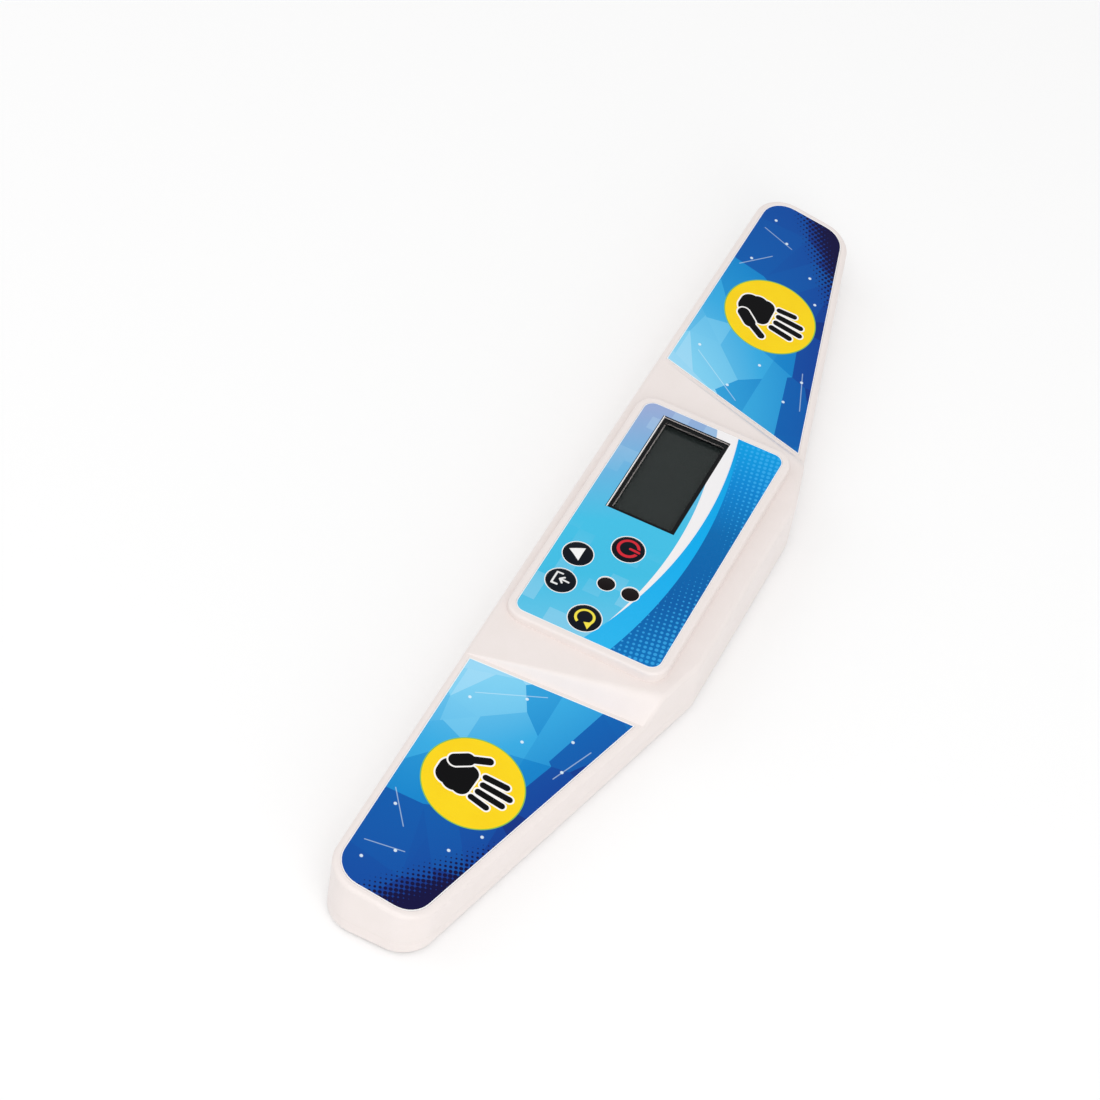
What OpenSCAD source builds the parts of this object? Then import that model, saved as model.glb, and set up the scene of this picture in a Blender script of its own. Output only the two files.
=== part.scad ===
// Speed cube timer: a long two-handed stopwatch with a raised display block
// between two sloping hand pads. +X is the user's right, +Y points away from
// the user and +Z is up. The origin lies on the table under the middle of the case.

/* [Case] */
// Length of the case, tip to tip
case_length = 270; // [250:1:300]
// Depth of the case at its middle, near edge to far edge
case_depth = 52.7; // [50:0.1:62]
// Depth of each tip
tip_width = 26; // [22:0.5:30]
// Length of the straight part of the far side
far_straight = 62; // [50:1:76]
// Height of the near edge above the case's underside
near_height = 19; // [18:0.1:20]
// Slope of the hand pads, falling away from the user, in degrees
wing_tilt = 9; // [6:0.5:10]
// Slope of the block's shoulder, falling away from the user, in degrees
shoulder_tilt = 1.7; // [0:0.1:3]
// Corner radius of the tips in plan
tip_radius = 9; // [5:0.5:10]
// Corner radius where the far side bends
bend_radius = 10; // [4:0.5:20]
// Thickness of the shells' walls and tops
wall = 2; // [1.6:0.1:2.4]
// Thickness of the bottom shell's floor
floor_thickness = 2; // [1.8:0.1:2.6]
// Height of the seam between the two shells
seam_height = 4.5; // [4:0.1:6]

/* [Display block] */
// Length of the raised platform
platform_length = 86.6; // [84:0.1:92]
// Depth of the raised platform
platform_width = 44.1; // [43:0.1:45]
// Height of the platform's rim above the case's underside
platform_height = 21; // [20.4:0.1:23]
// Corner radius of the platform
platform_radius = 5; // [3:0.5:7]
// Middle of the platform in Y
platform_y = -1.8; // [-2.4:0.1:-1.2]
// Width of the bare rim round the panel label
rim_width = 2; // [1.2:0.1:2.4]
// Thickness of the panel label
label_thickness = 0.3; // [0.2:0.05:0.5]
// How far the label's face lies below the rim
label_drop = 0.1; // [0:0.05:0.3]
// Where the block's flanks meet the pads at the near edge, from the middle
flank_near_x = 59; // [57:0.5:62]
// Foot of the flanks at the far side, from the middle
flank_foot_x = 51.7; // [50:0.1:54]
// Crest of the flanks at the far side, from the middle
flank_crest_x = 45.2; // [45:0.1:48]

/* [Hand pads] */
// Bare border round each pad sticker
sticker_margin = 2; // [1.5:0.1:3]
// Thickness of a pad sticker
sticker_thickness = 0.3; // [0.2:0.05:0.5]
// How far a sticker stands proud of the shell
sticker_rise = 0.1; // [0.05:0.05:0.2]
// Thickness of a touch plate
touch_plate_thickness = 0.3; // [0.2:0.05:0.6]

/* [Display] */
// Length of the display opening
display_length = 36.5; // [34:0.5:37]
// Depth of the display opening
display_width = 18.8; // [17:0.2:20]
// Middle of the display in X
display_x = -19.9; // [-20.5:0.1:-18]
// Middle of the display in Y
display_y = -6.05; // [-7:0.05:-5]
// Thickness of the clear lens
lens_thickness = 1; // [0.8:0.1:1.1]
// How far the lens lies below the label
lens_drop = 0.5; // [0.4:0.05:0.6]
// Thickness of the display glass
glass_thickness = 2; // [1.6:0.1:2.2]

/* [Keys] */
// Radius of the two large keys
large_key_radius = 4.15; // [3.8:0.05:4.4]
// Radius of the two small keys
small_key_radius = 3.8; // [3.4:0.05:3.9]
// Clearance round each key
key_gap = 0.15; // [0.1:0.05:0.3]
// Height of a key's crown above the label
key_rise = 0.5; // [0.3:0.1:1]
// Travel of a key
key_travel = 0.4; // [0.2:0.05:0.4]
// Radius of the two lamp windows
lamp_radius = 2.25; // [1.8:0.05:2.5]

/* [Batteries] */
// Radius of a battery
cell_radius = 5.25; // [5:0.05:5.3]
// Length of a battery with its nub
cell_length = 44.5; // [43:0.5:45]
// Thickness of the battery door
door_thickness = 1.8; // [1.6:0.1:1.9]
// Clearance round the battery door
door_gap = 0.2; // [0.15:0.05:0.4]

/* [Data port] */
// Bore of the data jack
jack_bore = 3.6; // [3.5:0.05:3.7]
// Depth of the data jack's bore
jack_depth = 11; // [9:0.5:12]
// Height of the data jack above the case's underside
jack_height = 8.4; // [8.2:0.1:9]

/* [Fixings] */
// Height of the rubber feet below the case
foot_height = 0.6; // [0.4:0.1:1.2]
// Radius of a rubber foot
foot_radius = 4.5; // [3.5:0.1:5]
// Radius of a case screw's shank
case_screw_radius = 1.1; // [1:0.05:1.2]
// Radius of a board screw's shank
board_screw_radius = 0.8; // [0.7:0.05:0.9]

/* [Hidden] */
SIDES = ["left", "right"];
DEPTHS = ["near", "far"];
KEYS = ["power", "up", "save", "reset"];
FEET = ["tip_left", "tip_right", "far_left", "far_right"];
$fn = 48;
slack = 0.1;
half_length = case_length / 2;
half_depth = case_depth / 2;
arc_steps = 8;

// Stack of levels, all above the case's underside
label_top = platform_height - label_drop;
label_floor = label_top - label_thickness;
platform_inside = platform_height - wall;
board_drop = 2.9;
board_thickness = 1.2;
board_top = platform_inside - board_drop;
board_bottom = board_top - board_thickness;
lens_top = label_top - lens_drop;
lens_ledge = lens_top - lens_thickness;

// Lip that lines the two shells up, and the gap it leaves
lip_thickness = 1;
lip_height = 1.5;

// Display parts under the opening
ledge_width = 1;
glass_border = 1;
frame_wall = 1.2;
strip_width = 2;

// Keys: place of each, in the order of KEYS
key_x = [9, 16.95, 27.2, 35.2];
key_y = [-4.5, -15, -15, -4.55];
key_radius = [large_key_radius, small_key_radius, small_key_radius, large_key_radius];
key_flange = 1;
key_flange_thickness = 0.8;
stem_radius = 1.5;
switch_size = 4.5;
switch_height = 0.9;
plunger_radius = 0.9;
plunger_fit = 0.1;
plunger_length = 0.9;

// Lamps, in the order of DEPTHS
lamp_x = [22.2, 22.2];
lamp_y = [-4.6, 2.1];
lamp_body_radius = 1.5;
lamp_flange = 0.5;
lamp_flange_thickness = 0.4;
lamp_clearance = 0.2;

// Battery bay
cell_pitch = 11.3;
cell_lift = 0.5;
cell_height = door_thickness + cell_lift + cell_radius;
nub_radius = 2.7;
nub_length = 0.8;
contact_thickness = 0.4;
spring_length = 3.9;
spring_wire = 0.3;
bay_half_length = (cell_length + spring_length) / 2 + contact_thickness;
cell_side_gap = 0.4;
bay_half_width = cell_pitch / 2 + cell_radius + cell_side_gap;
bay_wall = 1.2;
cell_top_gap = 0.25;
bay_inside_top = cell_height + cell_radius + cell_top_gap;
bay_roof = 1;
ledge_thickness = 1.2;
door_lap = [2.4, 2.2];
door_half_length = bay_half_length + door_lap[0];
door_half_width = bay_half_width + door_lap[1];
door_edge_radius = door_thickness / 2;
hinge_y = -door_half_width + door_edge_radius;
hinge_pin_radius = 0.5;
hinge_pin_length = 1.3;
snap_tab = [10, 1, 1.2];
snap_tab_gap = 0.4;
scoop_radius = 5;
pad_thickness = 0.4;
pad_inset = [4, 2];
tab_width = 4;
tab_height = 10.4;
tab_length = 2.6;
plate_width = 9;
plate_height = 8.4;
plate_above_tab = 1;
plate_bottom = tab_height + contact_thickness + plate_above_tab - plate_height;

// Battery leads: solder point from the tab's end, and hand-chosen steps from there
solder_inset = 0.8;
lead_rise = [0.4, 2];
lead_bend = [3.6, 1.8];
lead_reach = 4;

// Data jack, in the wall of the left tip
jack_wall_radius = 3;
jack_back = 2;
jack_body_size = [jack_depth + jack_back, 6.5, 5.5];
jack_y = -half_depth + tip_width / 2;
jack_post_width = 5;

// Screws: heads, holes and places
screw_head_radius = 2.1;
screw_head_height = 1.5;
screw_recess_depth = 3.5;
case_screw_length = 9;
post_radius = 3.4;
boss_radius = 2.8;
post_top = 6;
boss_gap = 0.05;
board_head_radius = 1.5;
board_head_height = 1;
board_screw_grip = 2.2;
board_boss_radius = 1.8;
pilot_fit = 0.02;
tip_screw_inset = 21;
near_screw_inset = [9, 6.9];
far_screw_gap = 1.4;
far_screw_inset = 10.4;
tip_screw_x = half_length - tip_screw_inset;
near_screw_x = flank_near_x - near_screw_inset[0];
far_screw_x = platform_length / 2 + far_screw_gap;
case_screw_spots = [
    [tip_screw_x, jack_y],
    [near_screw_x, -half_depth + near_screw_inset[1]],
    [far_screw_x, half_depth - far_screw_inset],
];
board_side_gap = 0.6;
board_corner_radius = 2;
board_screw_inset = [2.2, 1.5];
board_half_length = platform_length / 2 - wall - board_side_gap;
board_half_width = platform_width / 2 - wall - board_side_gap;
board_screw_x = board_half_length - board_screw_inset[0];
board_screw_y = board_half_width - board_screw_inset[1];

// Cross recess of a screw: its span over the head's radius, and over its own slot
recess_span = 1.3;
recess_slots = 5;

// Parts on the board
chip_spot = [8, 10];
chip_radius = 4.5;
chip_height = 1.2;
crystal_corner = [24, 8.5];
crystal_size = [8, 3, 2];

// Feet, in the order of FEET
foot_tip_inset = 8.5;
foot_far_offset = 3.5;
foot_far_inset = 9;
foot_spots = [
    [-half_length + foot_tip_inset, jack_y],
    [half_length - foot_tip_inset, jack_y],
    [-far_straight / 2 - foot_far_offset, half_depth - foot_far_inset],
    [far_straight / 2 + foot_far_offset, half_depth - foot_far_inset],
];
foot_seat = 0.4;

// Stiffening ribs across the floor of each wing
rib_thickness = 1.2;
rib_height = 2;
rib_spacing = 20;
rib_gap = 10;
rib_first_x = flank_near_x + rib_gap;

// Wires: radius, and hand-chosen points of each route
wire_radius = 0.5;
wire_sides = 8;
wire_steps = 4;
touch_solder = [66, -8];
touch_route = [[38, -2, 13.4], [45, -3, 11.6], [59, -6, 11.4], [65.5, -8, 12.2]];
jack_lane_inset = 5.85;
jack_lane_y = -half_depth + jack_lane_inset;
jack_end_x = -half_length + wall + jack_body_size[0];
steps_from_jack = [[2, 2.5, 8.2], [7, 0.5, 7.4], [20, 0, 7]];
steps_to_board = [[-31.7, 0, 7], [-16.7, 6.5, 8], [-4.7, 8.5, 10], [4.8, 8.5, 12.6]];
jack_route = concat(
    [for (p = steps_from_jack) p + [jack_end_x, jack_lane_y, 0]],
    [for (p = steps_to_board) p + [-platform_length / 2, jack_lane_y, 0]]
);
jack_wire_radius = 0.45;
jack_wire_step = [0, 1, 1];
jack_wire_side = [0, 1, 0.01];

// ---- Plain geometry ----

function unit(v) = v / norm(v);

// Points of the arc that rounds corner p of the path a-p-b with radius r
function corner_arc(a, p, b, r) =
    let (
        u = unit(a - p),
        w = unit(b - p),
        half = acos(u * w) / 2,
        centre = p + unit(u + w) * r / sin(half),
        start = p + u * r / tan(half) - centre,
        from = atan2(start[1], start[0]),
        turn = sign(cross(p - a, b - p)) * (180 - 2 * half)
    )
    [for (i = [0:arc_steps])
        centre + r * [cos(from + turn * i / arc_steps), sin(from + turn * i / arc_steps)]];

// Polygon with each corner rounded by its own radius
function rounded(points, radii) =
    let (n = len(points))
    [for (i = [0:n - 1])
        each corner_arc(points[(i + n - 1) % n], points[i], points[(i + 1) % n], radii[i])];

// Smooth curve through hand-chosen points
function curve_point(a, b, c, d, t) =
    0.5 * (2 * b + (c - a) * t + (2 * a - 5 * b + 4 * c - d) * t * t
        + (3 * b - a - 3 * c + d) * t * t * t);
function smooth(points) =
    let (n = len(points))
    concat(
        [for (i = [0:n - 2]) for (s = [0:wire_steps - 1])
            curve_point(points[max(i - 1, 0)], points[i], points[i + 1],
                points[min(i + 2, n - 1)], s / wire_steps)],
        [points[n - 1]]
    );

// Tube of radius r along a path; side is a direction that the path never takes.
// ends are the ways that its two end faces look along, or none for a square cut
module tube(path, r, sides, side, ends = []) {
    n = len(path);
    points = [
        for (i = [0:n - 1])
            let (
                along = len(ends) > 0 && i == 0 ? ends[0]
                    : len(ends) > 0 && i == n - 1 ? ends[1]
                    : unit(path[min(i + 1, n - 1)] - path[max(i - 1, 0)]),
                across = unit(cross(along, side)),
                up = cross(along, across)
            )
            for (k = [0:sides - 1])
                path[i] + r * (cos(360 * k / sides) * across + sin(360 * k / sides) * up)
    ];
    walls = [
        for (i = [0:n - 2]) for (k = [0:sides - 1])
            let (
                a = i * sides + k,
                b = i * sides + (k + 1) % sides
            )
            each [[a, b, a + sides], [b, b + sides, a + sides]]
    ];
    first_cap = [for (k = [1:sides - 2]) [0, k + 1, k]];
    last_cap = [for (k = [1:sides - 2]) [0, k, k + 1] + [1, 1, 1] * (n - 1) * sides];
    polyhedron(points, concat(walls, first_cap, last_cap));
}

// Everything below the plane through a point with a normal, lowered by d
module below(point, normal, d = 0) {
    reach = 2 * case_length;
    n = unit(normal);
    translate(point)
        rotate([0, acos(n[2]), atan2(n[1], n[0])])
            translate([-reach / 2, -reach / 2, -reach - d])
                cube(reach);
}

// Sheet between two depths under a plane, cut to the children's outline
module sheet(point, normal, top, bottom) {
    intersection() {
        linear_extrude(2 * platform_height) children();
        difference() {
            below(point, normal, top);
            below(point, normal, bottom);
        }
    }
}

module both_sides() {
    children();
    mirror([1, 0, 0]) children();
}

// Side number i of SIDES: 0 mirrors the right-hand part to the left
module on_side(i) {
    mirror([i == 0 ? 1 : 0, 0, 0]) children();
}

// Lifts a piece from the case's underside to its place above the table
module seated() {
    translate([0, 0, foot_height]) children();
}

// ---- Outlines and the case's volume ----

case_corners = [
    [-half_length, -half_depth],
    [half_length, -half_depth],
    [half_length, -half_depth + tip_width],
    [far_straight / 2, half_depth],
    [-far_straight / 2, half_depth],
    [-half_length, -half_depth + tip_width],
];
case_radii = [tip_radius, tip_radius, tip_radius, bend_radius, bend_radius, tip_radius];

// Planes of the top: pads, shoulder and right-hand flank
edge_point = [0, -half_depth, near_height];
wing_normal = [0, sin(wing_tilt), cos(wing_tilt)];
shoulder_normal = [0, sin(shoulder_tilt), cos(shoulder_tilt)];
function wing_level(y) = near_height - (y + half_depth) * tan(wing_tilt);
function shoulder_level(y) = near_height - (y + half_depth) * tan(shoulder_tilt);
flank_foot_y = 19;
flank_crest_y = 22.9;
flank_near = [flank_near_x, -half_depth, near_height];
flank_foot = [flank_foot_x, flank_foot_y, wing_level(flank_foot_y)];
flank_crest = [flank_crest_x, flank_crest_y, shoulder_level(flank_crest_y)];
flank_normal = cross(flank_foot - flank_near, flank_crest - flank_near);

module outline(inset = 0) {
    offset(delta = -inset) polygon(rounded(case_corners, case_radii));
}

module plate_outline(length, width, radius) {
    x = length / 2;
    y = width / 2;
    polygon(rounded([[-x, -y], [x, -y], [x, y], [-x, y]], [radius, radius, radius, radius]));
}

// Outline of the right-hand pad's sticker, drawn in by a further inset
module sticker_outline(inset = 0) {
    gap = 1 + inset;
    slope = (flank_near_x - flank_foot_x) / (flank_foot_y + half_depth);
    near_x = flank_near_x + gap;
    intersection() {
        offset(delta = -sticker_margin - inset) polygon(rounded(case_corners, case_radii));
        polygon([
            [near_x, -half_depth],
            [case_length, -half_depth],
            [case_length, half_depth],
            [near_x - slope * case_depth, half_depth],
        ]);
    }
}

// The solid that the two shells wrap, drawn in from its outer faces by d
module case_volume(d = 0) {
    intersection() {
        linear_extrude(platform_height) outline(d);
        union() {
            below(edge_point, wing_normal, d);
            intersection() {
                below(edge_point, shoulder_normal, d);
                below(flank_near, flank_normal, d);
                mirror([1, 0, 0]) below(flank_near, flank_normal, d);
            }
        }
    }
    translate([0, platform_y, 0])
        linear_extrude(platform_height - d)
            plate_outline(platform_length - 2 * d, platform_width - 2 * d, platform_radius - d);
}

module above(z) {
    translate([-case_length, -case_depth, z])
        cube([2 * case_length, 2 * case_depth, 2 * platform_height]);
}

module at_case_screws() {
    for (spot = case_screw_spots)
        both_sides() translate([spot[0], spot[1], 0]) children();
}

module at_board_screws() {
    for (y = [-board_screw_y, board_screw_y])
        both_sides() translate([board_screw_x, platform_y + y, 0]) children();
}

// ---- Shells ----

module top_shell() {
    color("floralwhite") seated() difference() {
        union() {
            difference() {
                intersection() {
                    case_volume();
                    above(seam_height);
                }
                case_volume(wall);
            }
            intersection() {
                at_case_screws() translate([0, 0, post_top + boss_gap])
                    cylinder(r = boss_radius, h = platform_height);
                case_volume(wall / 2);
            }
            at_board_screws() translate([0, 0, board_top])
                cylinder(r = board_boss_radius, h = label_floor - board_top - wall / 4);
        }
        label_pocket();
        display_opening();
        key_openings();
        lamp_openings();
        for (i = [0:1]) on_side(i) sticker_pocket();
        screw_pilots();
        jack_opening();
    }
}

module label_pocket() {
    translate([0, platform_y, label_floor])
        linear_extrude(wall)
            plate_outline(platform_length - 2 * rim_width, platform_width - 2 * rim_width,
                platform_radius - rim_width);
}

module display_opening() {
    translate([display_x, display_y, 0]) {
        translate([0, 0, lens_ledge])
            linear_extrude(wall) square([display_length, display_width], center = true);
        translate([0, 0, board_top])
            linear_extrude(2 * wall)
                square([display_length - 2 * ledge_width, display_width - 2 * ledge_width],
                    center = true);
    }
}

module key_openings() {
    for (i = [0:len(KEYS) - 1])
        translate([key_x[i], key_y[i], board_top])
            cylinder(r = key_radius[i] + key_gap, h = platform_height);
}

module lamp_openings() {
    for (i = [0:1])
        translate([lamp_x[i], lamp_y[i], board_top])
            cylinder(r = lamp_radius + pilot_fit, h = platform_height);
}

module sticker_pocket() {
    sheet(edge_point, wing_normal, -wall, sticker_thickness - sticker_rise)
        sticker_outline(-slack);
}

module screw_pilots() {
    at_case_screws() cylinder(r = case_screw_radius + pilot_fit,
        h = screw_recess_depth + case_screw_length + slack);
    at_board_screws() cylinder(r = board_screw_radius + pilot_fit,
        h = board_top + board_screw_grip + slack);
}

module jack_opening() {
    translate([-half_length - wall, jack_y, jack_height])
        rotate([0, 90, 0]) cylinder(r = jack_wall_radius + pilot_fit, h = 2 * wall);
}

module bottom_shell() {
    color("linen") seated() difference() {
        union() {
            difference() {
                linear_extrude(seam_height) outline();
                translate([0, 0, floor_thickness]) linear_extrude(seam_height) outline(wall);
            }
            difference() {
                translate([0, 0, floor_thickness])
                    linear_extrude(seam_height - floor_thickness + lip_height)
                        outline(wall + slack);
                translate([0, 0, floor_thickness])
                    linear_extrude(seam_height + lip_height)
                        outline(wall + slack + lip_thickness);
            }
            difference() {
                linear_extrude(seam_height) outline(wall / 2);
                translate([0, 0, floor_thickness])
                    linear_extrude(seam_height) outline(wall + lip_thickness);
            }
            at_case_screws() cylinder(r = post_radius, h = post_top);
            floor_ribs();
            battery_bay();
            jack_cradle();
        }
        at_case_screws() {
            cylinder(r = screw_head_radius + slack, h = screw_recess_depth);
            cylinder(r = case_screw_radius + slack, h = post_top + slack);
        }
        bay_space();
        door_opening();
        foot_seats();
        jack_space();
    }
}

module floor_ribs() {
    intersection() {
        linear_extrude(seam_height) outline(wall / 2);
        for (i = [0:1])
            both_sides()
                translate([rib_first_x + i * rib_spacing, -half_depth, floor_thickness / 2])
                    cube([rib_thickness, case_depth, floor_thickness / 2 + rib_height]);
    }
}

module battery_bay() {
    translate([-bay_half_length - bay_wall, -bay_half_width - bay_wall, floor_thickness])
        cube([2 * (bay_half_length + bay_wall), 2 * (bay_half_width + bay_wall),
            bay_inside_top + bay_roof - floor_thickness]);
    translate([-door_half_length - wall, -door_half_width - wall, floor_thickness / 2])
        cube([2 * (door_half_length + wall), 2 * (door_half_width + wall),
            floor_thickness / 2 + ledge_thickness]);
}

// Room for the batteries, the contacts' tabs and the door's snap tab
module bay_space() {
    translate([-bay_half_length, -bay_half_width, -slack])
        cube([2 * bay_half_length, 2 * bay_half_width, bay_inside_top + slack]);
    for (y = [-cell_pitch / 2, cell_pitch / 2])
        translate([bay_half_length - slack, y - tab_width / 2 - slack, tab_height - slack])
            cube([bay_wall + 2 * slack, tab_width + 2 * slack, contact_thickness + 2 * slack]);
    translate([-snap_tab[0] / 2 - slack, bay_half_width - slack, 0])
        cube([snap_tab[0] + 2 * slack, door_half_width - bay_half_width,
            floor_thickness + 2 * ledge_thickness]);
}

module door_opening() {
    translate([-door_half_length - door_gap, -door_half_width - door_gap, -slack])
        cube([2 * (door_half_length + door_gap), 2 * (door_half_width + door_gap),
            floor_thickness + slack]);
    both_sides()
        translate([door_half_length, hinge_y, door_edge_radius])
            rotate([0, 90, 0])
                cylinder(r = hinge_pin_radius + slack, h = hinge_pin_length + slack);
    translate([0, door_half_width + door_gap, -slack])
        cylinder(r = scoop_radius, h = floor_thickness / 2 + slack);
}

module foot_seats() {
    for (spot = foot_spots)
        translate([spot[0], spot[1], -slack])
            cylinder(r = foot_radius + slack, h = foot_seat + slack);
}

module jack_cradle() {
    translate([-half_length + wall, jack_y - jack_post_width / 2, floor_thickness / 2])
        cube([jack_body_size[0], jack_post_width,
            jack_height - jack_body_size[2] / 2 - floor_thickness / 2]);
}

// The lip stops short beside the jack's body
module jack_space() {
    translate([-half_length + wall, jack_y - jack_body_size[1] / 2 - slack,
        jack_height - jack_body_size[2] / 2])
        cube([jack_body_size[0], jack_body_size[1] + 2 * slack, platform_height]);
}

module battery_door() {
    r = door_edge_radius;
    profile = concat(
        [[door_half_width, 0], [door_half_width, door_thickness]],
        [for (i = [0:arc_steps])
            let (a = 90 + 180 * i / arc_steps) [hinge_y + r * cos(a), r + r * sin(a)]]
    );
    color("linen") seated() {
        translate([-door_half_length, 0, 0])
            rotate([90, 0, 90]) linear_extrude(2 * door_half_length) polygon(profile);
        both_sides()
            translate([door_half_length - slack, hinge_y, r])
                rotate([0, 90, 0]) cylinder(r = hinge_pin_radius, h = hinge_pin_length);
        translate([-snap_tab[0] / 2, bay_half_width + snap_tab_gap, door_thickness - slack])
            cube([snap_tab[0], snap_tab[1], snap_tab[2] + slack]);
    }
}

module battery_pad() {
    color("dimgray") seated()
        translate([-cell_length / 2 + pad_inset[0], -bay_half_width + pad_inset[1], door_thickness])
            cube([cell_length - 2 * pad_inset[0], 2 * (bay_half_width - pad_inset[1]),
                pad_thickness]);
}

// ---- Printed faces and touch plates ----

module panel_label() {
    color("deepskyblue") seated() difference() {
        translate([0, platform_y, label_floor])
            linear_extrude(label_thickness)
                plate_outline(platform_length - 2 * rim_width - slack,
                    platform_width - 2 * rim_width - slack, platform_radius - rim_width);
        display_opening();
        key_openings();
        lamp_openings();
    }
}

module pad_sticker(i) {
    color("dodgerblue") seated() on_side(i)
        sheet(edge_point, wing_normal, -sticker_rise, sticker_thickness - sticker_rise)
            sticker_outline();
}

module touch_plate(i) {
    plate_inset = 4;
    tip_clearance = boss_radius + 4;
    color("peru") seated() on_side(i)
        sheet(edge_point, wing_normal, wall, wall + touch_plate_thickness)
            intersection() {
                sticker_outline(plate_inset);
                translate([0, -half_depth])
                    square([tip_screw_x - tip_clearance, case_depth]);
            }
}

module touch_lead(i) {
    under_plate = wing_level(touch_solder[1])
        - (wall + touch_plate_thickness) / cos(wing_tilt);
    path = smooth(concat(
        [[touch_route[0][0], touch_route[0][1], board_bottom]],
        touch_route,
        [[touch_solder[0], touch_solder[1], under_plate]]
    ));
    plate_way = [0, sin(wing_tilt), cos(wing_tilt)];
    color("firebrick") seated() on_side(i)
        tube(path, wire_radius, wire_sides, [0, 1, 0], [[0, 0, -1], plate_way]);
}

// ---- Display and board ----

module display_lens() {
    color("dimgray") seated()
        translate([display_x, display_y, lens_ledge])
            linear_extrude(lens_thickness)
                square([display_length - slack, display_width - slack], center = true);
}

module display_glass() {
    color("darkslategray") seated()
        translate([display_x, display_y, platform_inside - glass_thickness])
            linear_extrude(glass_thickness)
                square([display_length + 2 * glass_border, display_width + 2 * glass_border],
                    center = true);
}

module display_frame() {
    inside = [display_length + 2 * glass_border + slack, display_width + 2 * glass_border + slack];
    color("white") seated()
        translate([display_x, display_y, board_top])
            linear_extrude(board_drop) difference() {
                square(inside + 2 * [frame_wall, frame_wall], center = true);
                square(inside, center = true);
            }
}

module contact_strip() {
    color("pink") seated()
        translate([display_x - display_length / 2,
            display_y + display_width / 2 - strip_width, board_top])
            cube([display_length, strip_width, board_drop - glass_thickness]);
}

module main_board() {
    color("seagreen") seated() difference() {
        translate([0, platform_y, board_bottom])
            linear_extrude(board_thickness)
                plate_outline(2 * board_half_length, 2 * board_half_width, board_corner_radius);
        at_board_screws() cylinder(r = board_screw_radius + slack, h = platform_height);
    }
}

module board_chip() {
    color("black") seated() translate([chip_spot[0], chip_spot[1], board_top])
        cylinder(r = chip_radius, h = chip_height);
}

module board_crystal() {
    color("silver") seated() translate([crystal_corner[0], crystal_corner[1], board_top])
        cube(crystal_size);
}

// ---- Keys and lamps ----

module key(i) {
    r = key_radius[i];
    crown_radius = (r * r + key_rise * key_rise) / (2 * key_rise);
    flange_bottom = platform_inside - key_flange_thickness;
    stem_bottom = board_top + switch_height + plunger_length - key_travel;
    color("black") seated() translate([key_x[i], key_y[i], 0]) {
        intersection() {
            translate([0, 0, flange_bottom]) cylinder(r = r, h = platform_height);
            translate([0, 0, label_top + key_rise - crown_radius])
                sphere(r = crown_radius, $fn = 96);
        }
        translate([0, 0, flange_bottom])
            cylinder(r = r + key_flange, h = key_flange_thickness);
        translate([0, 0, stem_bottom])
            cylinder(r = stem_radius, h = flange_bottom - stem_bottom + slack);
    }
}

module plunger(i) {
    bottom = board_top + switch_height - key_travel;
    color("gray") seated() translate([key_x[i], key_y[i], bottom])
        cylinder(r = plunger_radius, h = plunger_length);
}

module switch(i) {
    color("dimgray") seated() translate([key_x[i], key_y[i], board_top]) difference() {
        linear_extrude(switch_height) square(switch_size, center = true);
        translate([0, 0, -slack])
            cylinder(r = plunger_radius + plunger_fit, h = switch_height + 2 * slack);
    }
}

module lamp_window(i) {
    color("black") seated() translate([lamp_x[i], lamp_y[i], 0]) {
        translate([0, 0, platform_inside - lamp_flange_thickness])
            cylinder(r = lamp_radius, h = label_top - platform_inside + lamp_flange_thickness - slack);
        translate([0, 0, platform_inside - lamp_flange_thickness])
            cylinder(r = lamp_radius + lamp_flange, h = lamp_flange_thickness);
    }
}

module lamp(i) {
    top = platform_inside - lamp_flange_thickness - lamp_clearance;
    color("red") seated() translate([lamp_x[i], lamp_y[i], board_top])
        cylinder(r = lamp_body_radius, h = top - board_top);
}

// ---- Batteries and contacts ----

// Bay number i of DEPTHS: the near one's nub points right, and the far one is turned round
module in_bay(i) {
    rotate([0, 0, 180 * i]) translate([0, -cell_pitch / 2, 0]) children();
}

module battery(i) {
    nub_tip = bay_half_length - contact_thickness;
    color("slategray") seated() in_bay(i)
        translate([nub_tip - cell_length, 0, cell_height]) rotate([0, 90, 0]) {
            cylinder(r = cell_radius, h = cell_length - nub_length);
            cylinder(r = nub_radius, h = cell_length);
        }
}

module battery_spring(i) {
    turns = 3;
    rings = 8 * turns;
    base_radius = 3.4;
    tip_radius_drop = 1.2;
    from = -bay_half_length + contact_thickness + spring_wire;
    length = spring_length - 2 * spring_wire;
    path = [
        for (s = [0:rings])
            let (
                t = s / rings,
                r = base_radius - tip_radius_drop * t,
                a = 360 * turns * t
            )
            [from + length * t, r * cos(a), cell_height + r * sin(a)]
    ];
    color("silver") seated() in_bay(i) tube(path, spring_wire, 6, [1, 0, 0]);
}

// Upright plate against the bay's right-hand end wall, with its solder tab
module contact(y) {
    color("gold") seated() {
        translate([bay_half_length - contact_thickness, y - plate_width / 2, plate_bottom])
            cube([contact_thickness, plate_width, plate_height]);
        translate([bay_half_length - contact_thickness, y - tab_width / 2, tab_height])
            cube([contact_thickness + tab_length, tab_width, contact_thickness]);
    }
}

module contact_positive() {
    contact(-cell_pitch / 2);
}

module contact_negative() {
    contact(cell_pitch / 2);
}

module contact_bridge() {
    width = cell_pitch + plate_width;
    color("gold") seated()
        translate([-bay_half_length, -width / 2, plate_bottom])
            cube([contact_thickness, width, plate_height]);
}

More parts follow.
